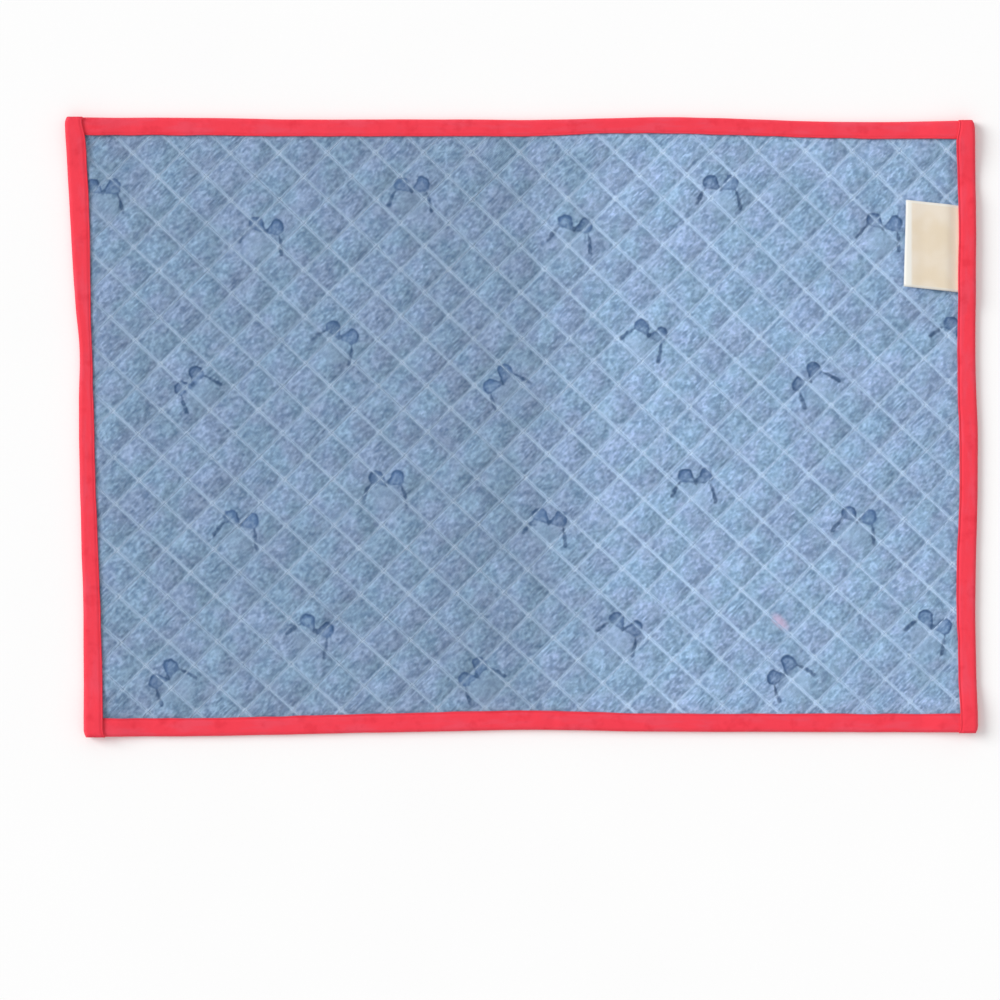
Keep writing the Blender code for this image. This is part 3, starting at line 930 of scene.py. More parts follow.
# %% Folded ribbon
LABEL_SLANT = 0.103  # its edges climb this much for each millimetre away from the binding
LABEL_LENGTH_NEAR, LABEL_LENGTH_FAR = 28.1, 27.0
LABEL_TUCKED = RIM_TOP + CLEARANCE + LABEL_CLOTH / 2  # the lower layer's height on the rim
LABEL_FREE = PUFF_TOP + CLEARANCE + LABEL_CLOTH / 2  # and on the crowns of the diamonds
LABEL_LIFT = 0.5  # the fold stands this much further off the cloth
LABEL_ACROSS, LABEL_ALONG = 30, 44  # how many cells it has
LABEL_BILLOW, BILLOW_ACROSS, BILLOW_OUT = 0.22, 0.5, 12.0  # its height, and its size each way
BILLOW_LAYER = 3.5  # where in the noise it is read
LABEL_CAUGHT = 0.17  # the share of its length that the binding holds at either end
LAYER_APART = 100.0  # on the UV map, so that the two layers don't show the same yarns
# out: how far out along the label, as a share of its length. height: of the middle of the cloth.
LabelRow = namedtuple("LabelRow", "out height")
LABEL_PATH = [
    LabelRow(-LABEL_CAUGHT, LABEL_TUCKED),
    LabelRow(0.00, LABEL_TUCKED),
    LabelRow(0.25, LABEL_FREE),
    LabelRow(0.62, LABEL_FREE),
    LabelRow(0.96, LABEL_FREE + LABEL_LIFT),
    LabelRow(0.99, LABEL_FREE + LABEL_LIFT + 0.15 * LABEL_PITCH),
    LabelRow(1.00, LABEL_FREE + LABEL_LIFT + 0.5 * LABEL_PITCH),
    LabelRow(0.99, LABEL_FREE + LABEL_LIFT + 0.85 * LABEL_PITCH),
    LabelRow(0.96, LABEL_FREE + LABEL_LIFT + LABEL_PITCH),
    LabelRow(0.62, LABEL_FREE + LABEL_PITCH),
    LabelRow(0.25, LABEL_FREE + LABEL_PITCH),
    LabelRow(0.00, LABEL_TUCKED + LABEL_PITCH),
    LabelRow(-LABEL_CAUGHT, LABEL_TUCKED + LABEL_PITCH),
]


def label_path():
    """The path as finer rows, eased between the table's rows and closer together round the fold."""
    rows = []
    for before, after in zip(LABEL_PATH, LABEL_PATH[1:]):
        count = max(1, round(LABEL_ALONG * abs(after.out - before.out) / 2))
        for i in range(count):
            t = i / count
            eased = t * t * (3 - 2 * t)
            out = before.out + (after.out - before.out) * t
            rows.append(LabelRow(out, before.height + (after.height - before.height) * eased))
    return rows + [LABEL_PATH[-1]]


label_rows = label_path()
print("label's path:", len(label_rows), "points")

# %% [markdown]
# ### The label's mesh
# Again a grid takes the path, here across the ribbon's width. The label was caught at a slant and a
# little unevenly, so its edges climb and its near side is longer. A slow billow keeps the cloth
# from lying dead flat.

# %% Label's mesh
label_mesh = bmesh.new()
made = bmesh.ops.create_grid(
    label_mesh, x_segments=LABEL_ACROSS, y_segments=len(label_rows) - 1, size=0.5
)["verts"]
cloth_map = label_mesh.loops.layers.uv.new("cloth")
for vertex in made:
    share = vertex.co.x + 0.5
    row = round((vertex.co.y + 0.5) * (len(label_rows) - 1))
    length = LABEL_LENGTH_NEAR + (LABEL_LENGTH_FAR - LABEL_LENGTH_NEAR) * share
    out, height = label_rows[row].out * length, label_rows[row].height
    leaves_y = LABEL_NEAR_Y + (LABEL_FAR_Y - LABEL_NEAR_Y) * share
    leaves_x = edge_at(RIGHT, leaves_y) - cover_at(RIGHT, leaves_y)
    spot = Vector((share / BILLOW_ACROSS, out / BILLOW_OUT, BILLOW_LAYER))
    billow = LABEL_BILLOW * max(0.0, label_rows[row].out) * (1 + noise.noise(spot))
    on_top = row > len(label_rows) / 2
    for loop in vertex.link_loops:
        loop[cloth_map].uv = (share * (LABEL_FAR_Y - LABEL_NEAR_Y), out + LAYER_APART * on_top)
    vertex.co = (leaves_x - out, leaves_y + LABEL_SLANT * out, height + billow)
label = new_piece("ribbon_label", label_mesh)
thicken(label, LABEL_CLOTH)
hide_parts("label")

# %% [markdown]
# Last, the panel's solid is hidden, and the mat's size is worked out across its middle.

mat_size = ((edge_at(FAR, 0) - edge_at(NEAR, 0)) * MM, (edge_at(RIGHT, 0) - edge_at(LEFT, 0)) * MM)
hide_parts("quilted_panel")
print("panel cut to", [round(value / MM) for value in mat_size], "mm")

# %% [markdown]
# ## Building materials from nodes
# A material is a graph of small steps, and writing one out in full hides its idea. So each step
# that comes up again and again gets a short name: first the node itself and arithmetic, then the
# steps that work on places and on colours, and last the groups and the shader around them.

# %% Helpers: nodes and arithmetic


def put(tree, kind, inputs=None, **settings):
    """A node of that kind. inputs holds, for each socket, a number or the socket that feeds it."""
    node = tree.nodes.new(kind)
    for key, value in settings.items():
        setattr(node, key, value)
    for key, value in (inputs or {}).items():
        if isinstance(value, bpy.types.NodeSocket):
            tree.links.new(value, node.inputs[key])
        else:
            node.inputs[key].default_value = value
    return node


def math_step(tree, operation, *values, clamp=False):
    node = put(tree, "ShaderNodeMath", dict(enumerate(values)), operation=operation, use_clamp=clamp)
    return node.outputs[0]


def plus(tree, first, second):
    return math_step(tree, "ADD", first, second)


def minus(tree, first, second):
    return math_step(tree, "SUBTRACT", first, second)


def times(tree, *factors):
    product = factors[0]
    for factor in factors[1:]:
        product = math_step(tree, "MULTIPLY", product, factor)
    return product


def times_plus(tree, value, factor, added):
    return math_step(tree, "MULTIPLY_ADD", value, factor, added)


def ridges(tree, value):
    """Round ridges side by side: 0 on every whole number, and 1 halfway between."""
    return math_step(tree, "ABSOLUTE", math_step(tree, "SINE", times(tree, value, math.pi)))


def ranged(tree, value, start, end, low=0.0, high=1.0, smooth=True):
    """The value's place between start and end, eased, as a number between low and high."""
    kind = "SMOOTHSTEP" if smooth else "LINEAR"
    inputs = {"Value": value, "From Min": start, "From Max": end, "To Min": low, "To Max": high}
    return put(tree, "ShaderNodeMapRange", inputs, interpolation_type=kind).outputs["Result"]


def between(tree, mask, low, high, smooth=True):
    """The number between low and high that a mask of 0 to 1 stands for."""
    return ranged(tree, mask, 0.0, 1.0, low, high, smooth)


print("arithmetic ready")

# %% [markdown]
# ### Places and colours
# A place on the cloth is a vector. What lies on the mat as a whole reads its Object coordinates,
# turned into millimetres, and what follows a piece's own cloth reads its UV map. Colours are given
# as a screen shows them, and Blender reckons with the light behind them, so they are converted.

# %% Helpers: places and colours


def paint(red, green, blue):
    """A linear colour from the three 0 to 255 values that a screen shows."""

    def linear(value):
        share = value / 255
        return share / 12.92 if share <= 0.04045 else ((share + 0.055) / 1.055) ** 2.4

    return linear(red), linear(green), linear(blue), 1.0


def vector_step(tree, operation, *values):
    node = put(tree, "ShaderNodeVectorMath", dict(enumerate(values)), operation=operation)
    return node.outputs["Value" if operation in ("DOT_PRODUCT", "LENGTH") else "Vector"]


def scaled(tree, vector, factor):
    node = put(tree, "ShaderNodeVectorMath", {0: vector, "Scale": factor}, operation="SCALE")
    return node.outputs["Vector"]


def split(tree, vector):
    return put(tree, "ShaderNodeSeparateXYZ", {"Vector": vector}).outputs


def joined(tree, x, y, z=0.0):
    return put(tree, "ShaderNodeCombineXYZ", {"X": x, "Y": y, "Z": z}).outputs[0]


def turned(tree, vector, degrees):
    """The vector turned about Z."""
    inputs = {"Vector": vector, "Angle": math.radians(degrees)}
    return put(tree, "ShaderNodeVectorRotate", inputs).outputs[0]


def stretched(tree, vector, scale):
    return put(tree, "ShaderNodeMapping", {"Vector": vector, "Scale": scale}).outputs[0]


def in_millimetres(tree):
    """The place on the piece, from its Object coordinates."""
    return scaled(tree, put(tree, "ShaderNodeTexCoord").outputs["Object"], 1 / MM)


def on_map(tree, name):
    """The place on the piece's own UV map."""
    return put(tree, "ShaderNodeUVMap", uv_map=name).outputs["UV"]


def grain(tree, vector, size, detail=2.0, roughness=0.5):
    """Soft noise from 0 to 1, with features of about this size."""
    inputs = {"Vector": vector, "Scale": 1.0 / size, "Detail": detail, "Roughness": roughness}
    return put(tree, "ShaderNodeTexNoise", inputs, noise_dimensions="3D").outputs["Fac"]


def mix_step(tree, kind, share, first, second, **settings):
    """A Mix node. It has sockets for every kind of value, so they are told apart by identifier."""
    name = "Color" if kind == "RGBA" else "Vector"
    node = put(tree, "ShaderNodeMix", data_type=kind, **settings)
    sockets = {socket.identifier: socket for socket in node.inputs}
    for key, value in (("Factor_Float", share), ("A_" + name, first), ("B_" + name, second)):
        if isinstance(value, bpy.types.NodeSocket):
            tree.links.new(value, sockets[key])
        else:
            sockets[key].default_value = value
    return next(socket for socket in node.outputs if socket.identifier == "Result_" + name)


def mixed(tree, share, first, second, blend="MIX"):
    """A share of the second colour laid over the first."""
    return mix_step(tree, "RGBA", share, first, second, blend_type=blend)


print("places and colours ready")

# %% [markdown]
# ### Groups and shaders
# An effect that several finishes share is a node group. It is built once, with named inputs, and
# each finish gives it its own values. Groups put out only masks, tones and heights: the shader
# itself stays in the material, where the export can read it.

# %% Helpers: groups and shaders


def new_group(name, inputs, outputs):
    """A shader node group. inputs and outputs hold each socket's name and type, and an input's
    default value."""
    tree = bpy.data.node_groups.new(name, "ShaderNodeTree")
    for socket_name, kind, default in inputs:
        socket = tree.interface.new_socket(socket_name, in_out="INPUT", socket_type="NodeSocket" + kind)
        if default is not None:
            socket.default_value = default
    for socket_name, kind in outputs:
        tree.interface.new_socket(socket_name, in_out="OUTPUT", socket_type="NodeSocket" + kind)
    return tree, put(tree, "NodeGroupInput").outputs


def finish_group(tree, results):
    """Feeds the group's outputs, and prints what it puts out."""
    put(tree, "NodeGroupOutput", results)
    print("group", tree.name, "puts out", ", ".join(results))


def use_group(tree, group, inputs):
    return put(tree, "ShaderNodeGroup", inputs, node_tree=group).outputs


def new_material(name, **constants):
    """A material with its Principled shader, on which the constants are set."""
    material = bpy.data.materials.new(name)
    material.use_nodes = True
    shader = material.node_tree.nodes["Principled BSDF"]
    for key, value in constants.items():
        shader.inputs[key.replace("_", " ")].default_value = value
    return material, material.node_tree, shader


def give(tree, shader, colour, roughness, height, depth):
    """Feeds the shader its colour and roughness, and its normal from a height of 0 to 1 that is
    depth mm high."""
    tree.links.new(colour, shader.inputs["Base Color"])
    tree.links.new(roughness, shader.inputs["Roughness"])
    bump = put(tree, "ShaderNodeBump", {"Height": height, "Strength": 1.0, "Distance": depth * MM})
    tree.links.new(bump.outputs["Normal"], shader.inputs["Normal"])


print("groups and shaders ready")

# %% [markdown]
# ## Twill
# Twill, the weave of denim, is made of cords that climb to the right. Each cord is a row of short
# floats of yarn, and no two floats took the dye alike. In worn, pale denim some cords are darker
# than others, and they come and go. An image could show all this, but a drawn weave stays sharp at
# any distance. It is a group, because the ribbon is woven the same way at another size.

# %% Twill group
CORD_TURN = -45  # degrees
FLOAT_LENGTH = 3.2  # of a float of the twill, in cords' widths
FLOAT_STEP = 0.37  # each cord's floats start this much further on, in floats' lengths
FLOAT_END, FLOAT_END_HEIGHT = 0.16, 0.45  # the share of a float that dips at either end, and how far
TWILL_BEND, BEND_SIZE = 1.3, 4.0  # how far the cords wander, and over what length
SLUB_SIZE, SLUB_LONG = 1.5, (0.22, 1.0, 1.0)  # the stretches of a cord that are dark
SLUB_FROM, SLUB_TO = 0.45, 0.62

twill_group, twill_in = new_group(
    "twill",
    [("Vector", "Vector", None), ("Cord", "Float", 0.85), ("Unevenness", "Float", 0.5)],
    [("Height", "Float"), ("Float Tone", "Float"), ("Streak", "Float")],
)
t = twill_group
along_cords = turned(t, twill_in["Vector"], CORD_TURN)
parts = split(t, along_cords)
bend = times(t, grain(t, twill_in["Vector"], BEND_SIZE), TWILL_BEND, twill_in["Unevenness"])
cords = math_step(t, "DIVIDE", plus(t, parts["Y"], bend), twill_in["Cord"])
cord_number = math_step(t, "FLOOR", cords)
floats = math_step(t, "DIVIDE", parts["X"], times(t, twill_in["Cord"], FLOAT_LENGTH))
floats = times_plus(t, cord_number, FLOAT_STEP, floats)
from_middle = math_step(t, "ABSOLUTE", minus(t, math_step(t, "FRACT", floats), 0.5))
float_height = ranged(t, from_middle, 0.5, 0.5 - FLOAT_END, FLOAT_END_HEIGHT, 1.0)
float_number = joined(t, cord_number, math_step(t, "FLOOR", floats))
every_other = times_plus(t, math_step(t, "SINE", times(t, cords, math.pi)), 0.5, 0.5)
slubs = grain(t, stretched(t, along_cords, SLUB_LONG), SLUB_SIZE, detail=3.0)
finish_group(t, {
    "Height": times(t, ridges(t, cords), float_height),
    "Float Tone": put(t, "ShaderNodeTexWhiteNoise", {"Vector": float_number}).outputs["Value"],
    "Streak": times(t, every_other, ranged(t, slubs, SLUB_FROM, SLUB_TO)),
})

# %% [markdown]
# ## Plain weave and heather
# Plain cotton has no cords, only a fine grid of yarns that cross. Where four yarns meet, a gap
# shows, and the cloths paint it a little darker, as the shade in it. Heather is the mottling of
# unevenly dyed yarn: short flecks, drawn out along the cords, and slow clouds of tone. Both are
# noise or waves, and each is used by two cloths.

# %% Plain weave and heather groups
GAP_FROM, GAP_TO = 0.35, 0.05  # the weave's height round a gap, and in it
FLECK_ROUGHNESS = 0.70
FLECK_FROM, FLECK_TO = 0.30, 0.70
CLOUD_SIZE = 1 / 0.12  # in flecks
CLOUD_FROM, CLOUD_TO = 0.33, 0.67

plain_group, plain_in = new_group(
    "plain weave",
    [("Vector", "Vector", None), ("Yarn", "Float", 0.45)],
    [("Height", "Float"), ("Gap", "Float")],
)
t = plain_group
parts = split(t, plain_in["Vector"])
yarn_tops = times(t, *(ridges(t, math_step(t, "DIVIDE", parts[axis], plain_in["Yarn"])) for axis in "XY"))
finish_group(t, {"Height": yarn_tops, "Gap": ranged(t, yarn_tops, GAP_FROM, GAP_TO)})

heather_group, heather_in = new_group(
    "heather",
    [("Vector", "Vector", None), ("Size", "Float", 2.0), ("Drawn Out", "Float", 0.5)],
    [("Fleck", "Float"), ("Cloud", "Float")],
)
t = heather_group
drawn = turned(t, heather_in["Vector"], CORD_TURN)
drawn = vector_step(t, "MULTIPLY", drawn, joined(t, heather_in["Drawn Out"], 1.0, 1.0))
drawn = vector_step(t, "DIVIDE", drawn, heather_in["Size"])
flecks = grain(t, drawn, 1.0, detail=4.0, roughness=FLECK_ROUGHNESS)
finish_group(t, {
    "Fleck": ranged(t, flecks, FLECK_FROM, FLECK_TO),
    "Cloud": ranged(t, grain(t, drawn, CLOUD_SIZE), CLOUD_FROM, CLOUD_TO),
})

# %% [markdown]
# ## The seams in the colour
# Along a seam the thread presses the cloth into a narrow, rubbed, paler line, and small puckers run
# across it. The group reads the quilting coordinates from the panel's UV map, where every whole
# number is a seam, and turns the distance to the nearest one into masks.

# %% Seam group
CROWN_BREADTH = 0.6  # below 1, a diamond's worn, pale crown is broad, and the painted shade near its seams narrow
CROSSING_FROM, CROSSING_TO = 1.4, 0.3  # where two seams cross, in half widths of a seam
RIPPLE_SIZE, RIPPLE_LONG = 0.085, 0.35  # of the small puckers, in diamonds, and how drawn out they are
RIPPLE_FROM, RIPPLE_TO = 3.4, 0.4  # they grow from here to there, in millimetres from the seam

seam_group, seam_in = new_group(
    "quilted seams",
    [("Quilting", "Vector", None), ("Half Width", "Float", 0.9), ("Softness", "Float", 0.8)],
    [(name, "Float") for name in ("Falling", "Rising", "Crossing", "Crown", "Pucker")],
)
t = seam_group
parts = split(t, seam_in["Quilting"])
outer = plus(t, seam_in["Half Width"], seam_in["Softness"])


def from_seam(axis):
    """The distance to the nearest seam of one set."""
    share = minus(t, parts[axis], math_step(t, "ROUND", parts[axis]))
    return times(t, math_step(t, "ABSOLUTE", share), SEAM_SPACING)


def ripple(axis, other, away):
    """Fine puckers across the seams of one set, strongest close to them."""
    squeezed = joined(t, parts[axis], times(t, parts[other], RIPPLE_LONG))
    fine = grain(t, squeezed, RIPPLE_SIZE, roughness=0.6)
    return times(t, fine, ranged(t, away, RIPPLE_FROM, RIPPLE_TO))


from_rising, from_falling = from_seam("X"), from_seam("Y")
from_crossing = vector_step(t, "LENGTH", joined(t, from_rising, from_falling))
crossing_reach = (times(t, outer, CROSSING_FROM), times(t, outer, CROSSING_TO))
crown = times(t, ridges(t, parts["X"]), ridges(t, parts["Y"]))
finish_group(t, {
    "Falling": ranged(t, from_falling, outer, seam_in["Half Width"]),
    "Rising": ranged(t, from_rising, outer, seam_in["Half Width"]),
    "Crossing": ranged(t, from_crossing, *crossing_reach),
    "Crown": math_step(t, "POWER", crown, CROWN_BREADTH),
    "Pucker": plus(t, ripple("Y", "X", from_rising), ripple("X", "Y", from_falling)),
})

# %% [markdown]
# ## The painted light and shade of the two halves
# One half of the mat is painted darker and the other lighter, as the shade and the light that fall
# on the two halves of the old fold. A ramp along the mat holds the tones, and slow noise keeps its
# edge from being straight. The thread and the pale lines of the seams take the same painted tone.

# %% Painted light and shade group
# from_fold: distance from the old fold, to the right. tone: the painted brightness of light and shade
# there.
ToneRow = namedtuple("ToneRow", "from_fold tone")
HALF_SHADING = [
    ToneRow(-240, 0.89),
    ToneRow(-110, 0.89),
    ToneRow(-35, 0.85),
    ToneRow(-10, 0.87),
    ToneRow(14, 1.01),
    ToneRow(45, 1.13),
    ToneRow(75, 1.15),
    ToneRow(110, 1.12),
    ToneRow(240, 1.06),
]
TONE_UNIT = 1.25  # the ramp holds tones in this unit, because its colours end at 1
HALF_SHADING_WANDER, WANDER_SIZE = 50.0, 60.0  # how far the edge wanders, and over what length

half_shading_group, half_shading_in = new_group("half_shading", [("Vector", "Vector", None)], [("Tone", "Float")])
t = half_shading_group
axes = split(t, half_shading_in["Vector"])
slope = (FOLD_FAR_X - FOLD_NEAR_X) / (2 * FOLD_Y)
fold_x = times_plus(t, axes["Y"], slope, (FOLD_FAR_X + FOLD_NEAR_X) / 2)
wander = minus(t, grain(t, half_shading_in["Vector"], WANDER_SIZE), 0.5)
from_fold = times_plus(t, wander, HALF_SHADING_WANDER, minus(t, axes["X"], fold_x))
reach = HALF_SHADING[-1].from_fold
half_shading = put(t, "ShaderNodeValToRGB", {"Fac": ranged(t, from_fold, -reach, reach, smooth=False)})
half_shading.color_ramp.interpolation = "EASE"
stops = half_shading.color_ramp.elements
for row in HALF_SHADING:
    position = (row.from_fold + reach) / (2 * reach)
    stop = stops[0] if row is HALF_SHADING[0] else stops[-1] if row is HALF_SHADING[-1] else stops.new(position)
    share = row.tone / TONE_UNIT
    stop.color = (share, share, share, 1.0)
finish_group(t, {"Tone": times(t, half_shading.outputs["Color"], TONE_UNIT)})

# %% [markdown]
# ## The printed bows: where they lie
# The cloth is printed with small ribbon bows, in four positions that repeat over the cloth like
# wallpaper. Placing each bow by hand would take twenty sets of nodes. Instead one group finds the
# nearest bow of the repeat, and turns a place on the cloth into that bow's own coordinates, with
# the knot at zero and the bow upright.

# %% Repeat of the print
REPEAT_ACROSS = Vector((158.2, 1.0, 0.0))
REPEAT_DOWN = Vector((145.3, -149.2, 0.0))  # one repeat down and one across, as the print is stepped
# x, y: the bow's knot. turn: degrees, against the clock. first: no bow of the row lies further left.
BowPlace = namedtuple("BowPlace", "x y turn first")
BOW_PLACES = [
    BowPlace(*from_picture(412, 192), -4, -1),
    BowPlace(*from_picture(574, 231), -14, -2),
    BowPlace(*from_picture(648, 337), -30, -2),
    BowPlace(*from_picture(503, 384), 42, -2),
]


def counting(own, other):
    """The vector whose dot product with a place counts repeats along own, whatever other adds."""
    square_to_other = Vector((-other.y, other.x, 0.0))
    return square_to_other / own.dot(square_to_other)


def own_place(tree, place, bow):
    """A place in the coordinates of the nearest repeat of one bow."""
    place = vector_step(tree, "SUBTRACT", place, (bow.x, bow.y, 0.0))
    across = vector_step(tree, "DOT_PRODUCT", place, counting(REPEAT_ACROSS, REPEAT_DOWN))
    across = math_step(tree, "MAXIMUM", math_step(tree, "ROUND", across), bow.first)
    down = vector_step(tree, "DOT_PRODUCT", place, counting(REPEAT_DOWN, REPEAT_ACROSS))
    down = math_step(tree, "ROUND", down)
    place = vector_step(tree, "SUBTRACT", place, scaled(tree, REPEAT_ACROSS, across))
    place = vector_step(tree, "SUBTRACT", place, scaled(tree, REPEAT_DOWN, down))
    return turned(tree, place, -bow.turn)


repeat_group, repeat_in = new_group("bow repeat", [("Vector", "Vector", None)], [("Own", "Vector")])
t = repeat_group
nearest, *others = [own_place(t, repeat_in["Vector"], bow) for bow in BOW_PLACES]
for place in others:
    lengths = vector_step(t, "LENGTH", place), vector_step(t, "LENGTH", nearest)
    nearest = mix_step(t, "VECTOR", math_step(t, "LESS_THAN", *lengths), nearest, place)
finish_group(t, {"Own": nearest})
print("the print repeats every", [round(value, 1) for value in REPEAT_ACROSS[:2]], "mm")

# %% [markdown]
# ## The printed bows: how one is drawn
# Nothing is drawn point by point. A bow is a few strokes, each a line that grows or shrinks in
# width, as a brush makes them. A group tells how far a place lies from a stroke: the distance to
# the nearest point of its line, less the stroke's width there. Below zero is inside.

# %% Strokes of a bow
stroke_group, stroke_in = new_group(
    "stroke",
    [("Vector", "Vector", None), ("From", "Vector", None), ("To", "Vector", None)]
    + [("Start Width", "Float", 1.0), ("End Width", "Float", 1.0)],
    [("Distance", "Float")],
)
t = stroke_group
place = vector_step(t, "SUBTRACT", stroke_in["Vector"], stroke_in["From"])
course = vector_step(t, "SUBTRACT", stroke_in["To"], stroke_in["From"])
products = vector_step(t, "DOT_PRODUCT", place, course), vector_step(t, "DOT_PRODUCT", course, course)
along = math_step(t, "DIVIDE", *products, clamp=True)
from_line = vector_step(t, "LENGTH", vector_step(t, "SUBTRACT", place, scaled(t, course, along)))
growth = minus(t, stroke_in["End Width"], stroke_in["Start Width"])
width = times_plus(t, growth, along, stroke_in["Start Width"])
finish_group(t, {"Distance": minus(t, from_line, width)})

# %% [markdown]
# ## The printed bows: one bow
# The bow is drawn upright, with its knot in the middle. Only one half is drawn: taking the distance
# from the middle without its sign mirrors it. The two halves are stretched a little differently, as
# the bow is seen from one side. Three masks come out: the dark lines, the filled loops and the
# rubbed cloth between the tails.

# %% One bow
# start, end: the ends of the stroke's line. start_width, end_width: half its width there.
Stroke = namedtuple("Stroke", "start end start_width end_width")
LOOP = Stroke((1.7, 1.4, 0), (4.9, 3.5, 0), 1.5, 3.9)
KNOT = Stroke((0.1, 0.1, 0), (0.3, 1.2, 0), 0.7, 1.0)
TAIL = [
    Stroke((7.4, 0.4, 0), (8.9, -2.4, 0), 0.3, 0.85),
    Stroke((8.9, -2.4, 0), (10.7, -7.6, 0), 0.85, 0.95),
]
BETWEEN_TAILS = Stroke((0.0, -1.6, 0), (0.0, -5.2, 0), 4.5, 7.5)
LINE = 1.0  # how wide the dark outline of a loop is
SOFT_EDGE, GROUND_EDGE = 0.5, 1.5  # the print's edges are this soft
LEFT_WIDER, RIGHT_NARROWER = 0.92, 1.00  # a smaller number draws that half larger
LEFT_FLATTER, RIGHT_TALLER = 1.03, 0.88
LOOP_FOOT, LOOP_HEAD = -0.5, 5.0  # the ink grows from the lower side of the loops to the upper
FOOT_LINE, FOOT_FILL, HEAD_FILL = 0.45, 0.62, 1.06  # its strength there, in the outline and inside
INNER_FROM, INNER_TO, INNER_INK = -3.2, -0.4, 0.58  # well inside a loop the ink is thinner

bow_group, bow_in = new_group(
    "ribbon bow",
    [("Own", "Vector", None), ("Bleed", "Float", 0.0), ("Fade", "Float", 1.0)],
    [("Line", "Float"), ("Fill", "Float"), ("Ground", "Float")],
)
t = bow_group
parts = split(t, bow_in["Own"])
right = math_step(t, "GREATER_THAN", parts["X"], 0.0)
stretch_x = times_plus(t, right, RIGHT_NARROWER - LEFT_WIDER, LEFT_WIDER)
stretch_y = times_plus(t, right, RIGHT_TALLER - LEFT_FLATTER, LEFT_FLATTER)
half_x = times(t, math_step(t, "ABSOLUTE", parts["X"]), stretch_x)
half_y = times(t, parts["Y"], stretch_y)
half = joined(t, half_x, half_y)


def from_stroke(stroke):
    inputs = {"Vector": half, "From": stroke.start, "To": stroke.end}
    inputs.update({"Start Width": stroke.start_width, "End Width": stroke.end_width})
    return plus(t, use_group(t, stroke_group, inputs)["Distance"], bow_in["Bleed"])


def inked(distance, edge=SOFT_EDGE):
    """1 inside, 0 outside, and soft at the edge."""
    return ranged(t, distance, edge, -edge)


from_loop = from_stroke(LOOP)
from_outline = math_step(t, "ABSOLUTE", plus(t, from_loop, LINE / 2))
above = ranged(t, half_y, LOOP_FOOT, LOOP_HEAD)
outline = inked(minus(t, from_outline, LINE / 2))
outline = times(t, outline, bow_in["Fade"], between(t, above, FOOT_LINE, 1.0))
tail = math_step(t, "MINIMUM", from_stroke(TAIL[0]), from_stroke(TAIL[1]))
strokes = inked(math_step(t, "MINIMUM", tail, from_stroke(KNOT)))
inner = ranged(t, from_loop, INNER_FROM, INNER_TO, INNER_INK, 1.0)
finish_group(t, {
    "Line": math_step(t, "MAXIMUM", outline, strokes),
    "Fill": times(t, inked(from_loop), inner, between(t, above, FOOT_FILL, HEAD_FILL)),
    "Ground": inked(from_stroke(BETWEEN_TAILS), GROUND_EDGE),
})
print("a bow is", 2 * (LOOP.end[0] + LOOP.end_width), "mm wide over its loops")

# %% [markdown]
# ## The face cloth: yarn and tones
# Washed denim is never one blue. The yarn is flecked, and its tint drifts between a greener and a
# more violet blue. Over that lie tones: one half of the mat is painted lighter and the other darker,
# as the light and shade on the two halves of the old fold, clouds drift through it, the crowns of
# the diamonds and the tops of the cords are worn pale, and the cloth close to the seams is painted
# darker, as the shade in the hollows there. Tints multiply the colour and tones its brightness, so
# each can be changed alone. The shader is matt, with the faint bloom of cotton fluff, and a little
# smoother where the cords are worn.

# %% Face cloth: yarn and tones
DENIM_DARK, DENIM_PALE, DENIM_DEEP = paint(104, 132, 167), paint(161, 187, 218), paint(84, 112, 148)
GREENER, MORE_VIOLET = (0.945, 1.010, 0.983, 1.0), (1.042, 0.992, 1.012, 1.0)  # they keep the light
CORD = 0.88  # the width of a cord of the twill
# An edge holds the two values of the noise between which an effect sets in.
DRIFT_SIZE, DRIFT_EDGE = 17.0, (0.36, 0.64)  # of the patches of one tint
STREAK_SIZE, STREAK_EDGE, MOST_STREAKED = 11.0, (0.42, 0.6), 0.62  # of the patches with dark cords
# the darkest and the palest tone that each effect gives
CLOUD_TONES, CROWN_TONES = (0.93, 1.07), (0.94, 1.06)
FLOAT_TONES, CORD_TONES = (0.92, 1.08), (0.90, 1.07)
DENIM_MATT = (0.95, 0.83)  # the roughness between the cords, and on their tops


def cord_tone(tree, twill):
    """The tone of a float: how it took the dye, and how far its top is worn."""
    dyed = between(tree, twill["Float Tone"], *FLOAT_TONES, smooth=False)
    return times(tree, dyed, between(tree, twill["Height"], *CORD_TONES))


denim, t, shader = new_material(
    "printed denim", Specular_IOR_Level=0.22, Sheen_Weight=0.12, Sheen_Roughness=0.6
)
place = in_millimetres(t)
twill = use_group(t, twill_group, {"Vector": place, "Cord": CORD, "Unevenness": 1.0})
heather = use_group(t, heather_group, {"Vector": place, "Size": 2.0, "Drawn Out": 0.7})
seam_inputs = {"Quilting": on_map(t, "quilting"), "Half Width": 0.3, "Softness": 1.15}
seams = use_group(t, seam_group, seam_inputs)
# the painted light and shade of the two halves of the mat
half_shading = use_group(t, half_shading_group, {"Vector": place})["Tone"]

blue = mixed(t, heather["Fleck"], DENIM_DARK, DENIM_PALE)
drift = ranged(t, grain(t, place, DRIFT_SIZE, roughness=0.6), *DRIFT_EDGE)
blue = mixed(t, 1.0, blue, mixed(t, drift, GREENER, MORE_VIOLET), "MULTIPLY")
patches = ranged(t, grain(t, place, STREAK_SIZE), *STREAK_EDGE, 0.0, MOST_STREAKED)
blue = mixed(t, times(t, twill["Streak"], patches), blue, DENIM_DEEP)
cloudy = between(t, heather["Cloud"], *CLOUD_TONES)
# crowns worn paler, and the cloth near the seams painted darker, as the shade in the hollows
worn = between(t, seams["Crown"], *CROWN_TONES, smooth=False)
blue = scaled(t, blue, times(t, half_shading, cloudy, worn, cord_tone(t, twill)))
print("yarn and tones:", len(t.nodes), "nodes")

# %% [markdown]
# ## The face cloth: its print
# The print is old: its ink has run a little into the yarn, its outlines are broken, and less of it
# is left on the palest yarn. So noise shifts the edges of the strokes before they are drawn, and
# the flecks of the cloth thin the ink.

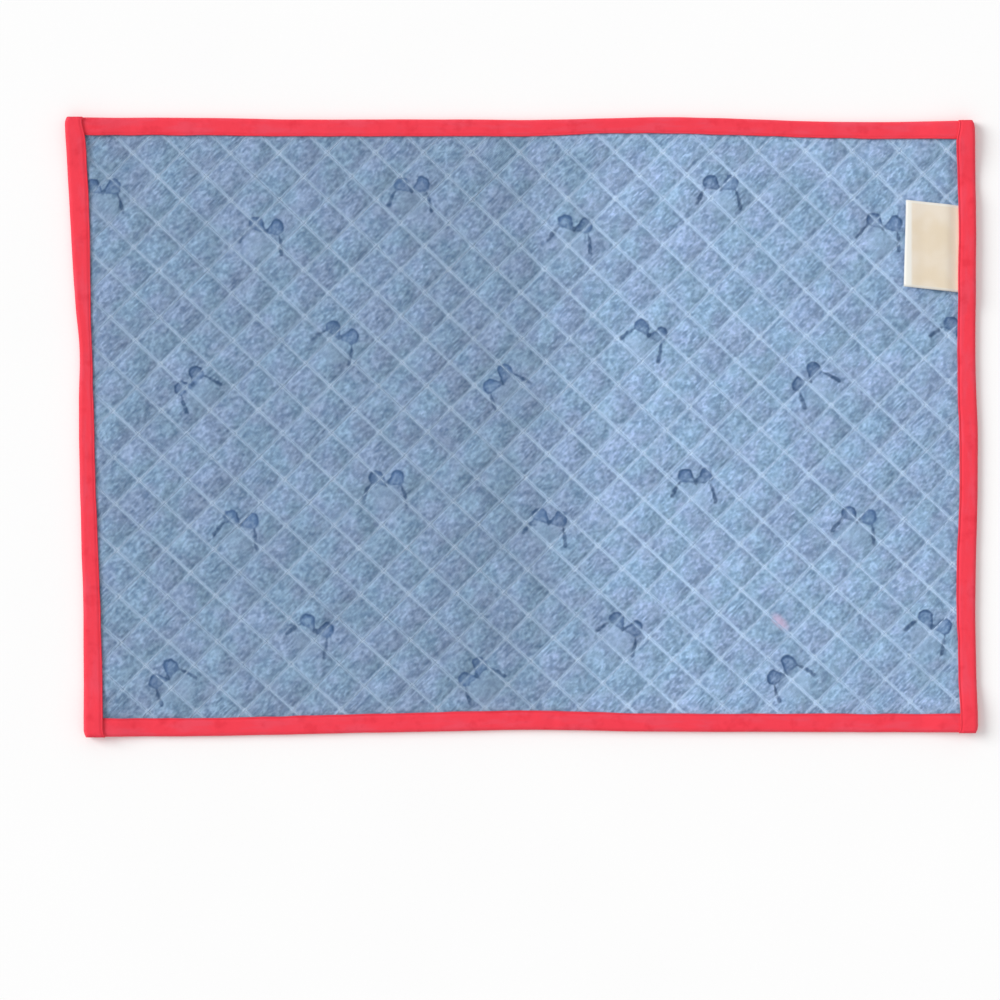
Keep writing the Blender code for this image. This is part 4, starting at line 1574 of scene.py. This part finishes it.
# %% Face cloth: print
BOW_LINE, BOW_FILL, BOW_GROUND = paint(52, 82, 120), paint(76, 108, 152), paint(144, 170, 200)
LINE_INK, FILL_INK, GROUND_INK = 0.92, 1.05, 0.4
BLEED_SIZE, BLEED = 2.6, 1.5  # how far the ink has run, and over what length that changes
FADE_SIZE, FADE_EDGE, LEAST_LINE = 6.0, (0.38, 0.6), 0.45  # of the stretches of outline that faded
PALE_FROM, LEAST_INK = 0.1, 0.68  # flecks paler than this lose ink, down to what the palest keeps

bleed = times(t, minus(t, grain(t, place, BLEED_SIZE), 0.5), BLEED)
fade = ranged(t, grain(t, place, FADE_SIZE), *FADE_EDGE, LEAST_LINE, 1.0)
own = use_group(t, repeat_group, {"Vector": place})["Own"]
bow = use_group(t, bow_group, {"Own": own, "Bleed": bleed, "Fade": fade})
kept = ranged(t, heather["Fleck"], PALE_FROM, 1.0, 1.0, LEAST_INK)
blue = mixed(t, times(t, bow["Ground"], GROUND_INK), blue, scaled(t, BOW_GROUND[:3], half_shading))
blue = mixed(t, times(t, bow["Fill"], kept, FILL_INK), blue, BOW_FILL)
blue = mixed(t, times(t, bow["Line"], kept, LINE_INK), blue, BOW_LINE)
print("with the print:", len(t.nodes), "nodes")

# %% [markdown]
# ## The face cloth: seams and relief
# The pale lines of the seams lie over the print, more faintly there. All the rows are rubbed pale,
# and those that fall to the right are painted paler than those that rise, as the light that they
# face; the crossings are rubbed palest of all. A faint pink stain lies along one seam. The relief of
# the weave and the fine puckers goes into the normal.

# %% Face cloth: seams and relief
SEAM_PALE, CROSSING_PALE = paint(184, 211, 240), paint(210, 230, 250)
FALLING_RUB_AND_LIGHT, RISING_RUB, CROSSING_RUB = 0.66, 0.51, 0.6  # how pale each is painted: all are rubbed, and the falling rows are painted lit as well
RUB_SIZE, RUB_EDGE, LEAST_RUBBED = 28.0, (0.35, 0.65), 0.62  # of the stretches that are rubbed less
OVER_PRINT = 0.45  # what shows of a seam's paleness over the print
SEAM_SHADING_POWER = 1.15  # above 1, the painted light and shade of the two halves is stronger on the pale lines than on the cloth
SEAM_SMOOTHER = 0.1
BLUSH, MOST_BLUSH = paint(212, 180, 210), 0.6
BLUSH_AT, BLUSH_TURN = (132.4, -99.8), 45  # its middle, and how it is turned, in degrees
BLUSH_SIZE = (7.5, 4.0)  # half its length, down along the seam, and half its width
BLUSH_CORE, BLUSH_RAGGED = 0.2, 0.2  # shares of that size: its full middle, and its ragged edge
THROUGH = 1e6  # the stain goes right through the cloth
CORD_RELIEF, FLECK_RELIEF, PUCKER_RELIEF = 0.4, 0.15, 0.7
DENIM_DEPTH = 0.3  # of the relief

printed = math_step(t, "MAXIMUM", bow["Line"], bow["Fill"])
rubbed = ranged(t, grain(t, place, RUB_SIZE), *RUB_EDGE, LEAST_RUBBED, 1.0)
rubbed = times(t, rubbed, between(t, printed, 1.0, OVER_PRINT))
# the falling rows get painted light on top of their rubbing
falling, rising = times(t, seams["Falling"], FALLING_RUB_AND_LIGHT), times(t, seams["Rising"], RISING_RUB)
lines = math_step(t, "MAXIMUM", falling, rising)
crossings = times(t, seams["Crossing"], CROSSING_RUB)
seam_tone = math_step(t, "POWER", half_shading, SEAM_SHADING_POWER)
for mask, pale in ((lines, SEAM_PALE), (crossings, CROSSING_PALE)):
    blue = mixed(t, times(t, mask, rubbed), blue, scaled(t, pale[:3], seam_tone))

from_blush = turned(t, vector_step(t, "SUBTRACT", place, (*BLUSH_AT, 0.0)), BLUSH_TURN)
from_blush = vector_step(t, "LENGTH", vector_step(t, "DIVIDE", from_blush, (*BLUSH_SIZE, THROUGH)))
from_blush = times_plus(t, bleed, BLUSH_RAGGED, from_blush)
blue = mixed(t, ranged(t, from_blush, 1.0, BLUSH_CORE, 0.0, MOST_BLUSH), blue, BLUSH)

matt = times_plus(t, lines, -SEAM_SMOOTHER, between(t, twill["Height"], *DENIM_MATT))
relief = times_plus(t, twill["Height"], CORD_RELIEF, times(t, heather["Fleck"], FLECK_RELIEF))
relief = times_plus(t, seams["Pucker"], PUCKER_RELIEF, relief)
give(t, shader, blue, matt, relief, DENIM_DEPTH)
panel.data.materials.append(denim)
print("face cloth:", len(t.nodes), "nodes")

# %% [markdown]
# ## The back cloth
# The back is out of sight in use, so it is the same denim left plain: flecked, ribbed and marked by
# its seams, with no print. It is the panel's second material, and the faces of the back already
# point to it.

# %% Back cloth
BACK_STREAKED, BACK_RUB = 0.4, 0.4
BACK_MATT = (0.96, 0.85)
BACK_PUCKER_RELIEF, BACK_CORD_RELIEF = 0.8, 0.35

back_denim, t, shader = new_material(
    "plain denim", Specular_IOR_Level=0.2, Sheen_Weight=0.1, Sheen_Roughness=0.6
)
place = in_millimetres(t)
twill = use_group(t, twill_group, {"Vector": place, "Cord": CORD, "Unevenness": 1.0})
heather = use_group(t, heather_group, {"Vector": place, "Size": 1.8, "Drawn Out": 0.6})
seam_inputs = {"Quilting": on_map(t, "quilting"), "Half Width": 0.3, "Softness": 0.9}
seams = use_group(t, seam_group, seam_inputs)
blue = mixed(t, heather["Fleck"], DENIM_DARK, DENIM_PALE)
blue = mixed(t, times(t, twill["Streak"], BACK_STREAKED), blue, DENIM_DEEP)
blue = scaled(t, blue, cord_tone(t, twill))
lines = times(t, math_step(t, "MAXIMUM", seams["Falling"], seams["Rising"]), BACK_RUB)
blue = mixed(t, lines, blue, SEAM_PALE)
matt = between(t, twill["Height"], *BACK_MATT)
relief = times(t, twill["Height"], BACK_CORD_RELIEF)
relief = times_plus(t, seams["Pucker"], BACK_PUCKER_RELIEF, relief)
give(t, shader, blue, matt, relief, DENIM_DEPTH)
panel.data.materials.append(back_denim)
print("back cloth:", len(t.nodes), "nodes")

# %% [markdown]
# ## The quilting thread
# The thread is a pale blue cotton, twisted from two plies, and the twist shows as slanting grooves.
# A stitch's own UV map runs round and along it, so a slanting groove is a sum of the two.

# %% Thread
THREAD_PALE, THREAD_SHADE = paint(182, 207, 237), paint(152, 180, 213)
PLIES, PLY_TURNS = 2, 4  # the thread is twisted from two plies, which turn this often in a stitch
THREAD_WEAR_SIZE, THREAD_WEAR_EDGE = 22.0, (0.36, 0.62)  # of its pale stretches
GROOVE_END, GROOVE_SHADE = 0.6, 0.8  # how high up a ply its groove reaches, and how dark the painted shade in it is
THREAD_MATT = (0.82, 0.64)
THREAD_DEPTH = 0.12

thread, t, shader = new_material(
    "quilting cotton", Specular_IOR_Level=0.35, Sheen_Weight=0.2, Sheen_Roughness=0.5
)
place = in_millimetres(t)
on_stitch = split(t, on_map(t, "twist"))
twist = times_plus(t, on_stitch["Y"], PLY_TURNS, times(t, on_stitch["X"], PLIES))
ply = ridges(t, twist)
worn = ranged(t, grain(t, place, THREAD_WEAR_SIZE), *THREAD_WEAR_EDGE)
# the thread takes the painted light and shade of the two halves too
half_shading = use_group(t, half_shading_group, {"Vector": place})["Tone"]
pale = mixed(t, worn, THREAD_SHADE, THREAD_PALE)
pale = scaled(t, pale, math_step(t, "POWER", half_shading, SEAM_SHADING_POWER))
# the grooves between the plies painted darker, as the shade in them
pale = scaled(t, pale, ranged(t, ply, 0.0, GROOVE_END, GROOVE_SHADE, 1.0))
give(t, shader, pale, between(t, ply, *THREAD_MATT), ply, THREAD_DEPTH)
for piece in (face_thread, back_thread):
    piece.data.materials.clear()
    piece.data.materials.append(thread)
print("thread on", len(face_rows) + len(back_rows), "rows")

# %% [markdown]
# ## The red cotton
# The tape is a plain, tight cotton. Seen closely its red is not even: the dye sits in long, pinker
# streaks along the strip, and in patches of a deeper red. The weave follows the strip round its
# folds, so it reads the strip's own UV map, in millimetres.

# %% Red cotton
RED, RED_DEEP, RED_DUSTY = paint(253, 64, 83), paint(232, 42, 62), paint(243, 82, 104)
TAPE_YARN = 0.38
DUSTY_LONG = (0.05, 0.22, 1.0)  # the pinker streaks are drawn out along the strip
DUSTY_EDGE, MOST_DUSTY = (0.42, 0.68), 0.6
DEEP_SIZE, DEEP_EDGE, MOST_DEEP = 7.0, (0.52, 0.75), 0.5  # of the patches of deeper red
GAP_SHADE = 0.35  # how much darker the gaps of the weave are painted, as the shade in them
COTTON_MATT = (0.86, 0.72)
RUMPLE_SIZE, YARN_RELIEF, COTTON_DEPTH = 3.5, 0.3, 0.25

red_cotton, t, shader = new_material(
    "red cotton", Specular_IOR_Level=0.25, Sheen_Weight=0.08, Sheen_Roughness=0.5
)
cloth = on_map(t, "cloth")
place = in_millimetres(t)
weave = use_group(t, plain_group, {"Vector": cloth, "Yarn": TAPE_YARN})
dusty = grain(t, stretched(t, cloth, DUSTY_LONG), 1.0, detail=3.0)
deep = grain(t, place, DEEP_SIZE, detail=3.0)
red = mixed(t, ranged(t, dusty, *DUSTY_EDGE, 0.0, MOST_DUSTY), RED, RED_DUSTY)
red = mixed(t, ranged(t, deep, *DEEP_EDGE, 0.0, MOST_DEEP), red, RED_DEEP)
# painted shade in the gaps of the weave
red = mixed(t, times(t, weave["Gap"], GAP_SHADE), red, RED_DEEP)
rumpled = grain(t, place, RUMPLE_SIZE, detail=3.0)
relief = times_plus(t, weave["Height"], YARN_RELIEF, rumpled)
give(t, shader, red, between(t, weave["Height"], *COTTON_MATT), relief, COTTON_DEPTH)
for strip in strips:
    strip.data.materials.append(red_cotton)
print("red cotton on", len(strips), "strips")

# %% [markdown]
# ## The cream ribbon
# The label's ribbon is woven in a fine twill, cream with a slightly golden middle, woven edges and
# a paler, cleaner fold. Close to the binding it is painted rosy, as the red light that the binding
# reflects onto it. It is left bare.

# %% Cream ribbon
CREAM, CREAM_GOLD, CREAM_FOLD = paint(241, 229, 212), paint(235, 219, 194), paint(245, 244, 238)
CREAM_RED_REFLECTION = paint(255, 240, 218)  # painted reflection of the red light that the binding throws on it
GOLD_SIZE, GOLD_EDGE = 16.0, (0.35, 0.65)  # of the golden patches
RIBBON_CORD, RIBBON_YARN = 0.6, 0.35
FOLD_PALE_FROM, FOLD_PALE_TO = 3.4, 2.0  # how far from the fold it turns pale
RED_REFLECTION_FROM, RED_REFLECTION_TO = 20.0, 27.0  # and where it takes the painted red reflection
SELVEDGE, SELVEDGE_PALE = 1.6, 0.7  # the ribbon's woven edges are paler over this width
RIBBON_GAP_SHADE = 0.12
RIBBON_MATT = (0.68, 0.52)
RIBBON_CORD_RELIEF, RIBBON_DEPTH = 0.5, 0.06

ribbon, t, shader = new_material(
    "cream ribbon", Specular_IOR_Level=0.3, Sheen_Weight=0.1, Sheen_Roughness=0.4
)
cloth = on_map(t, "cloth")
place = in_millimetres(t)
weave = use_group(t, twill_group, {"Vector": cloth, "Cord": RIBBON_CORD, "Unevenness": 0.1})
yarns = use_group(t, plain_group, {"Vector": cloth, "Yarn": RIBBON_YARN})
cream = mixed(t, ranged(t, grain(t, place, GOLD_SIZE), *GOLD_EDGE), CREAM, CREAM_GOLD)
fold_x = edge_at(RIGHT, LABEL_FAR_Y) - cover_at(RIGHT, LABEL_FAR_Y) - LABEL_LENGTH_FAR
from_fold = minus(t, split(t, place)["X"], fold_x)
cream = mixed(t, ranged(t, from_fold, FOLD_PALE_FROM, FOLD_PALE_TO), cream, CREAM_FOLD)
# painted red reflection of the binding, near it
cream = mixed(t, ranged(t, from_fold, RED_REFLECTION_FROM, RED_REFLECTION_TO), cream, CREAM_RED_REFLECTION)
ribbon_middle = (LABEL_FAR_Y - LABEL_NEAR_Y) / 2
from_middle = math_step(t, "ABSOLUTE", minus(t, split(t, cloth)["X"], ribbon_middle))
selvedge = ranged(t, from_middle, ribbon_middle - SELVEDGE, ribbon_middle - SELVEDGE / 2)
cream = mixed(t, times(t, selvedge, SELVEDGE_PALE), cream, CREAM_FOLD)
# painted shade in the gaps of the weave, as a golden cream
cream = mixed(t, times(t, yarns["Gap"], RIBBON_GAP_SHADE), cream, CREAM_GOLD)
relief = times_plus(t, weave["Height"], RIBBON_CORD_RELIEF, yarns["Height"])
give(t, shader, cream, between(t, weave["Height"], *RIBBON_MATT), relief, RIBBON_DEPTH)
label.data.materials.append(ribbon)
print("cream ribbon:", len(t.nodes), "nodes")

# %% [markdown]
# ## The floor's finish
# The floor should go unnoticed, but a perfectly even surface looks like nothing at all. So its white
# drifts by a hair, and it has the faint tooth of matt card.

# %% Floor finish
FLOOR_WHITES = paint(251, 251, 251), paint(253, 253, 253)
PATCH_SIZE, TOOTH_SIZE, TOOTH_DEPTH = 90.0, 2.0, 0.02
TOOTH_EDGE, FLOOR_MATT = (0.2, 0.8), (0.94, 0.86)

pale_floor, t, shader = new_material("pale floor", Specular_IOR_Level=0.1)
place = in_millimetres(t)
tooth = grain(t, place, TOOTH_SIZE)
white = mixed(t, grain(t, place, PATCH_SIZE), *FLOOR_WHITES)
give(t, shader, white, ranged(t, tooth, *TOOTH_EDGE, *FLOOR_MATT), tooth, TOOTH_DEPTH)
floor.data.materials.append(pale_floor)
print("materials:", ", ".join(material.name for material in bpy.data.materials))
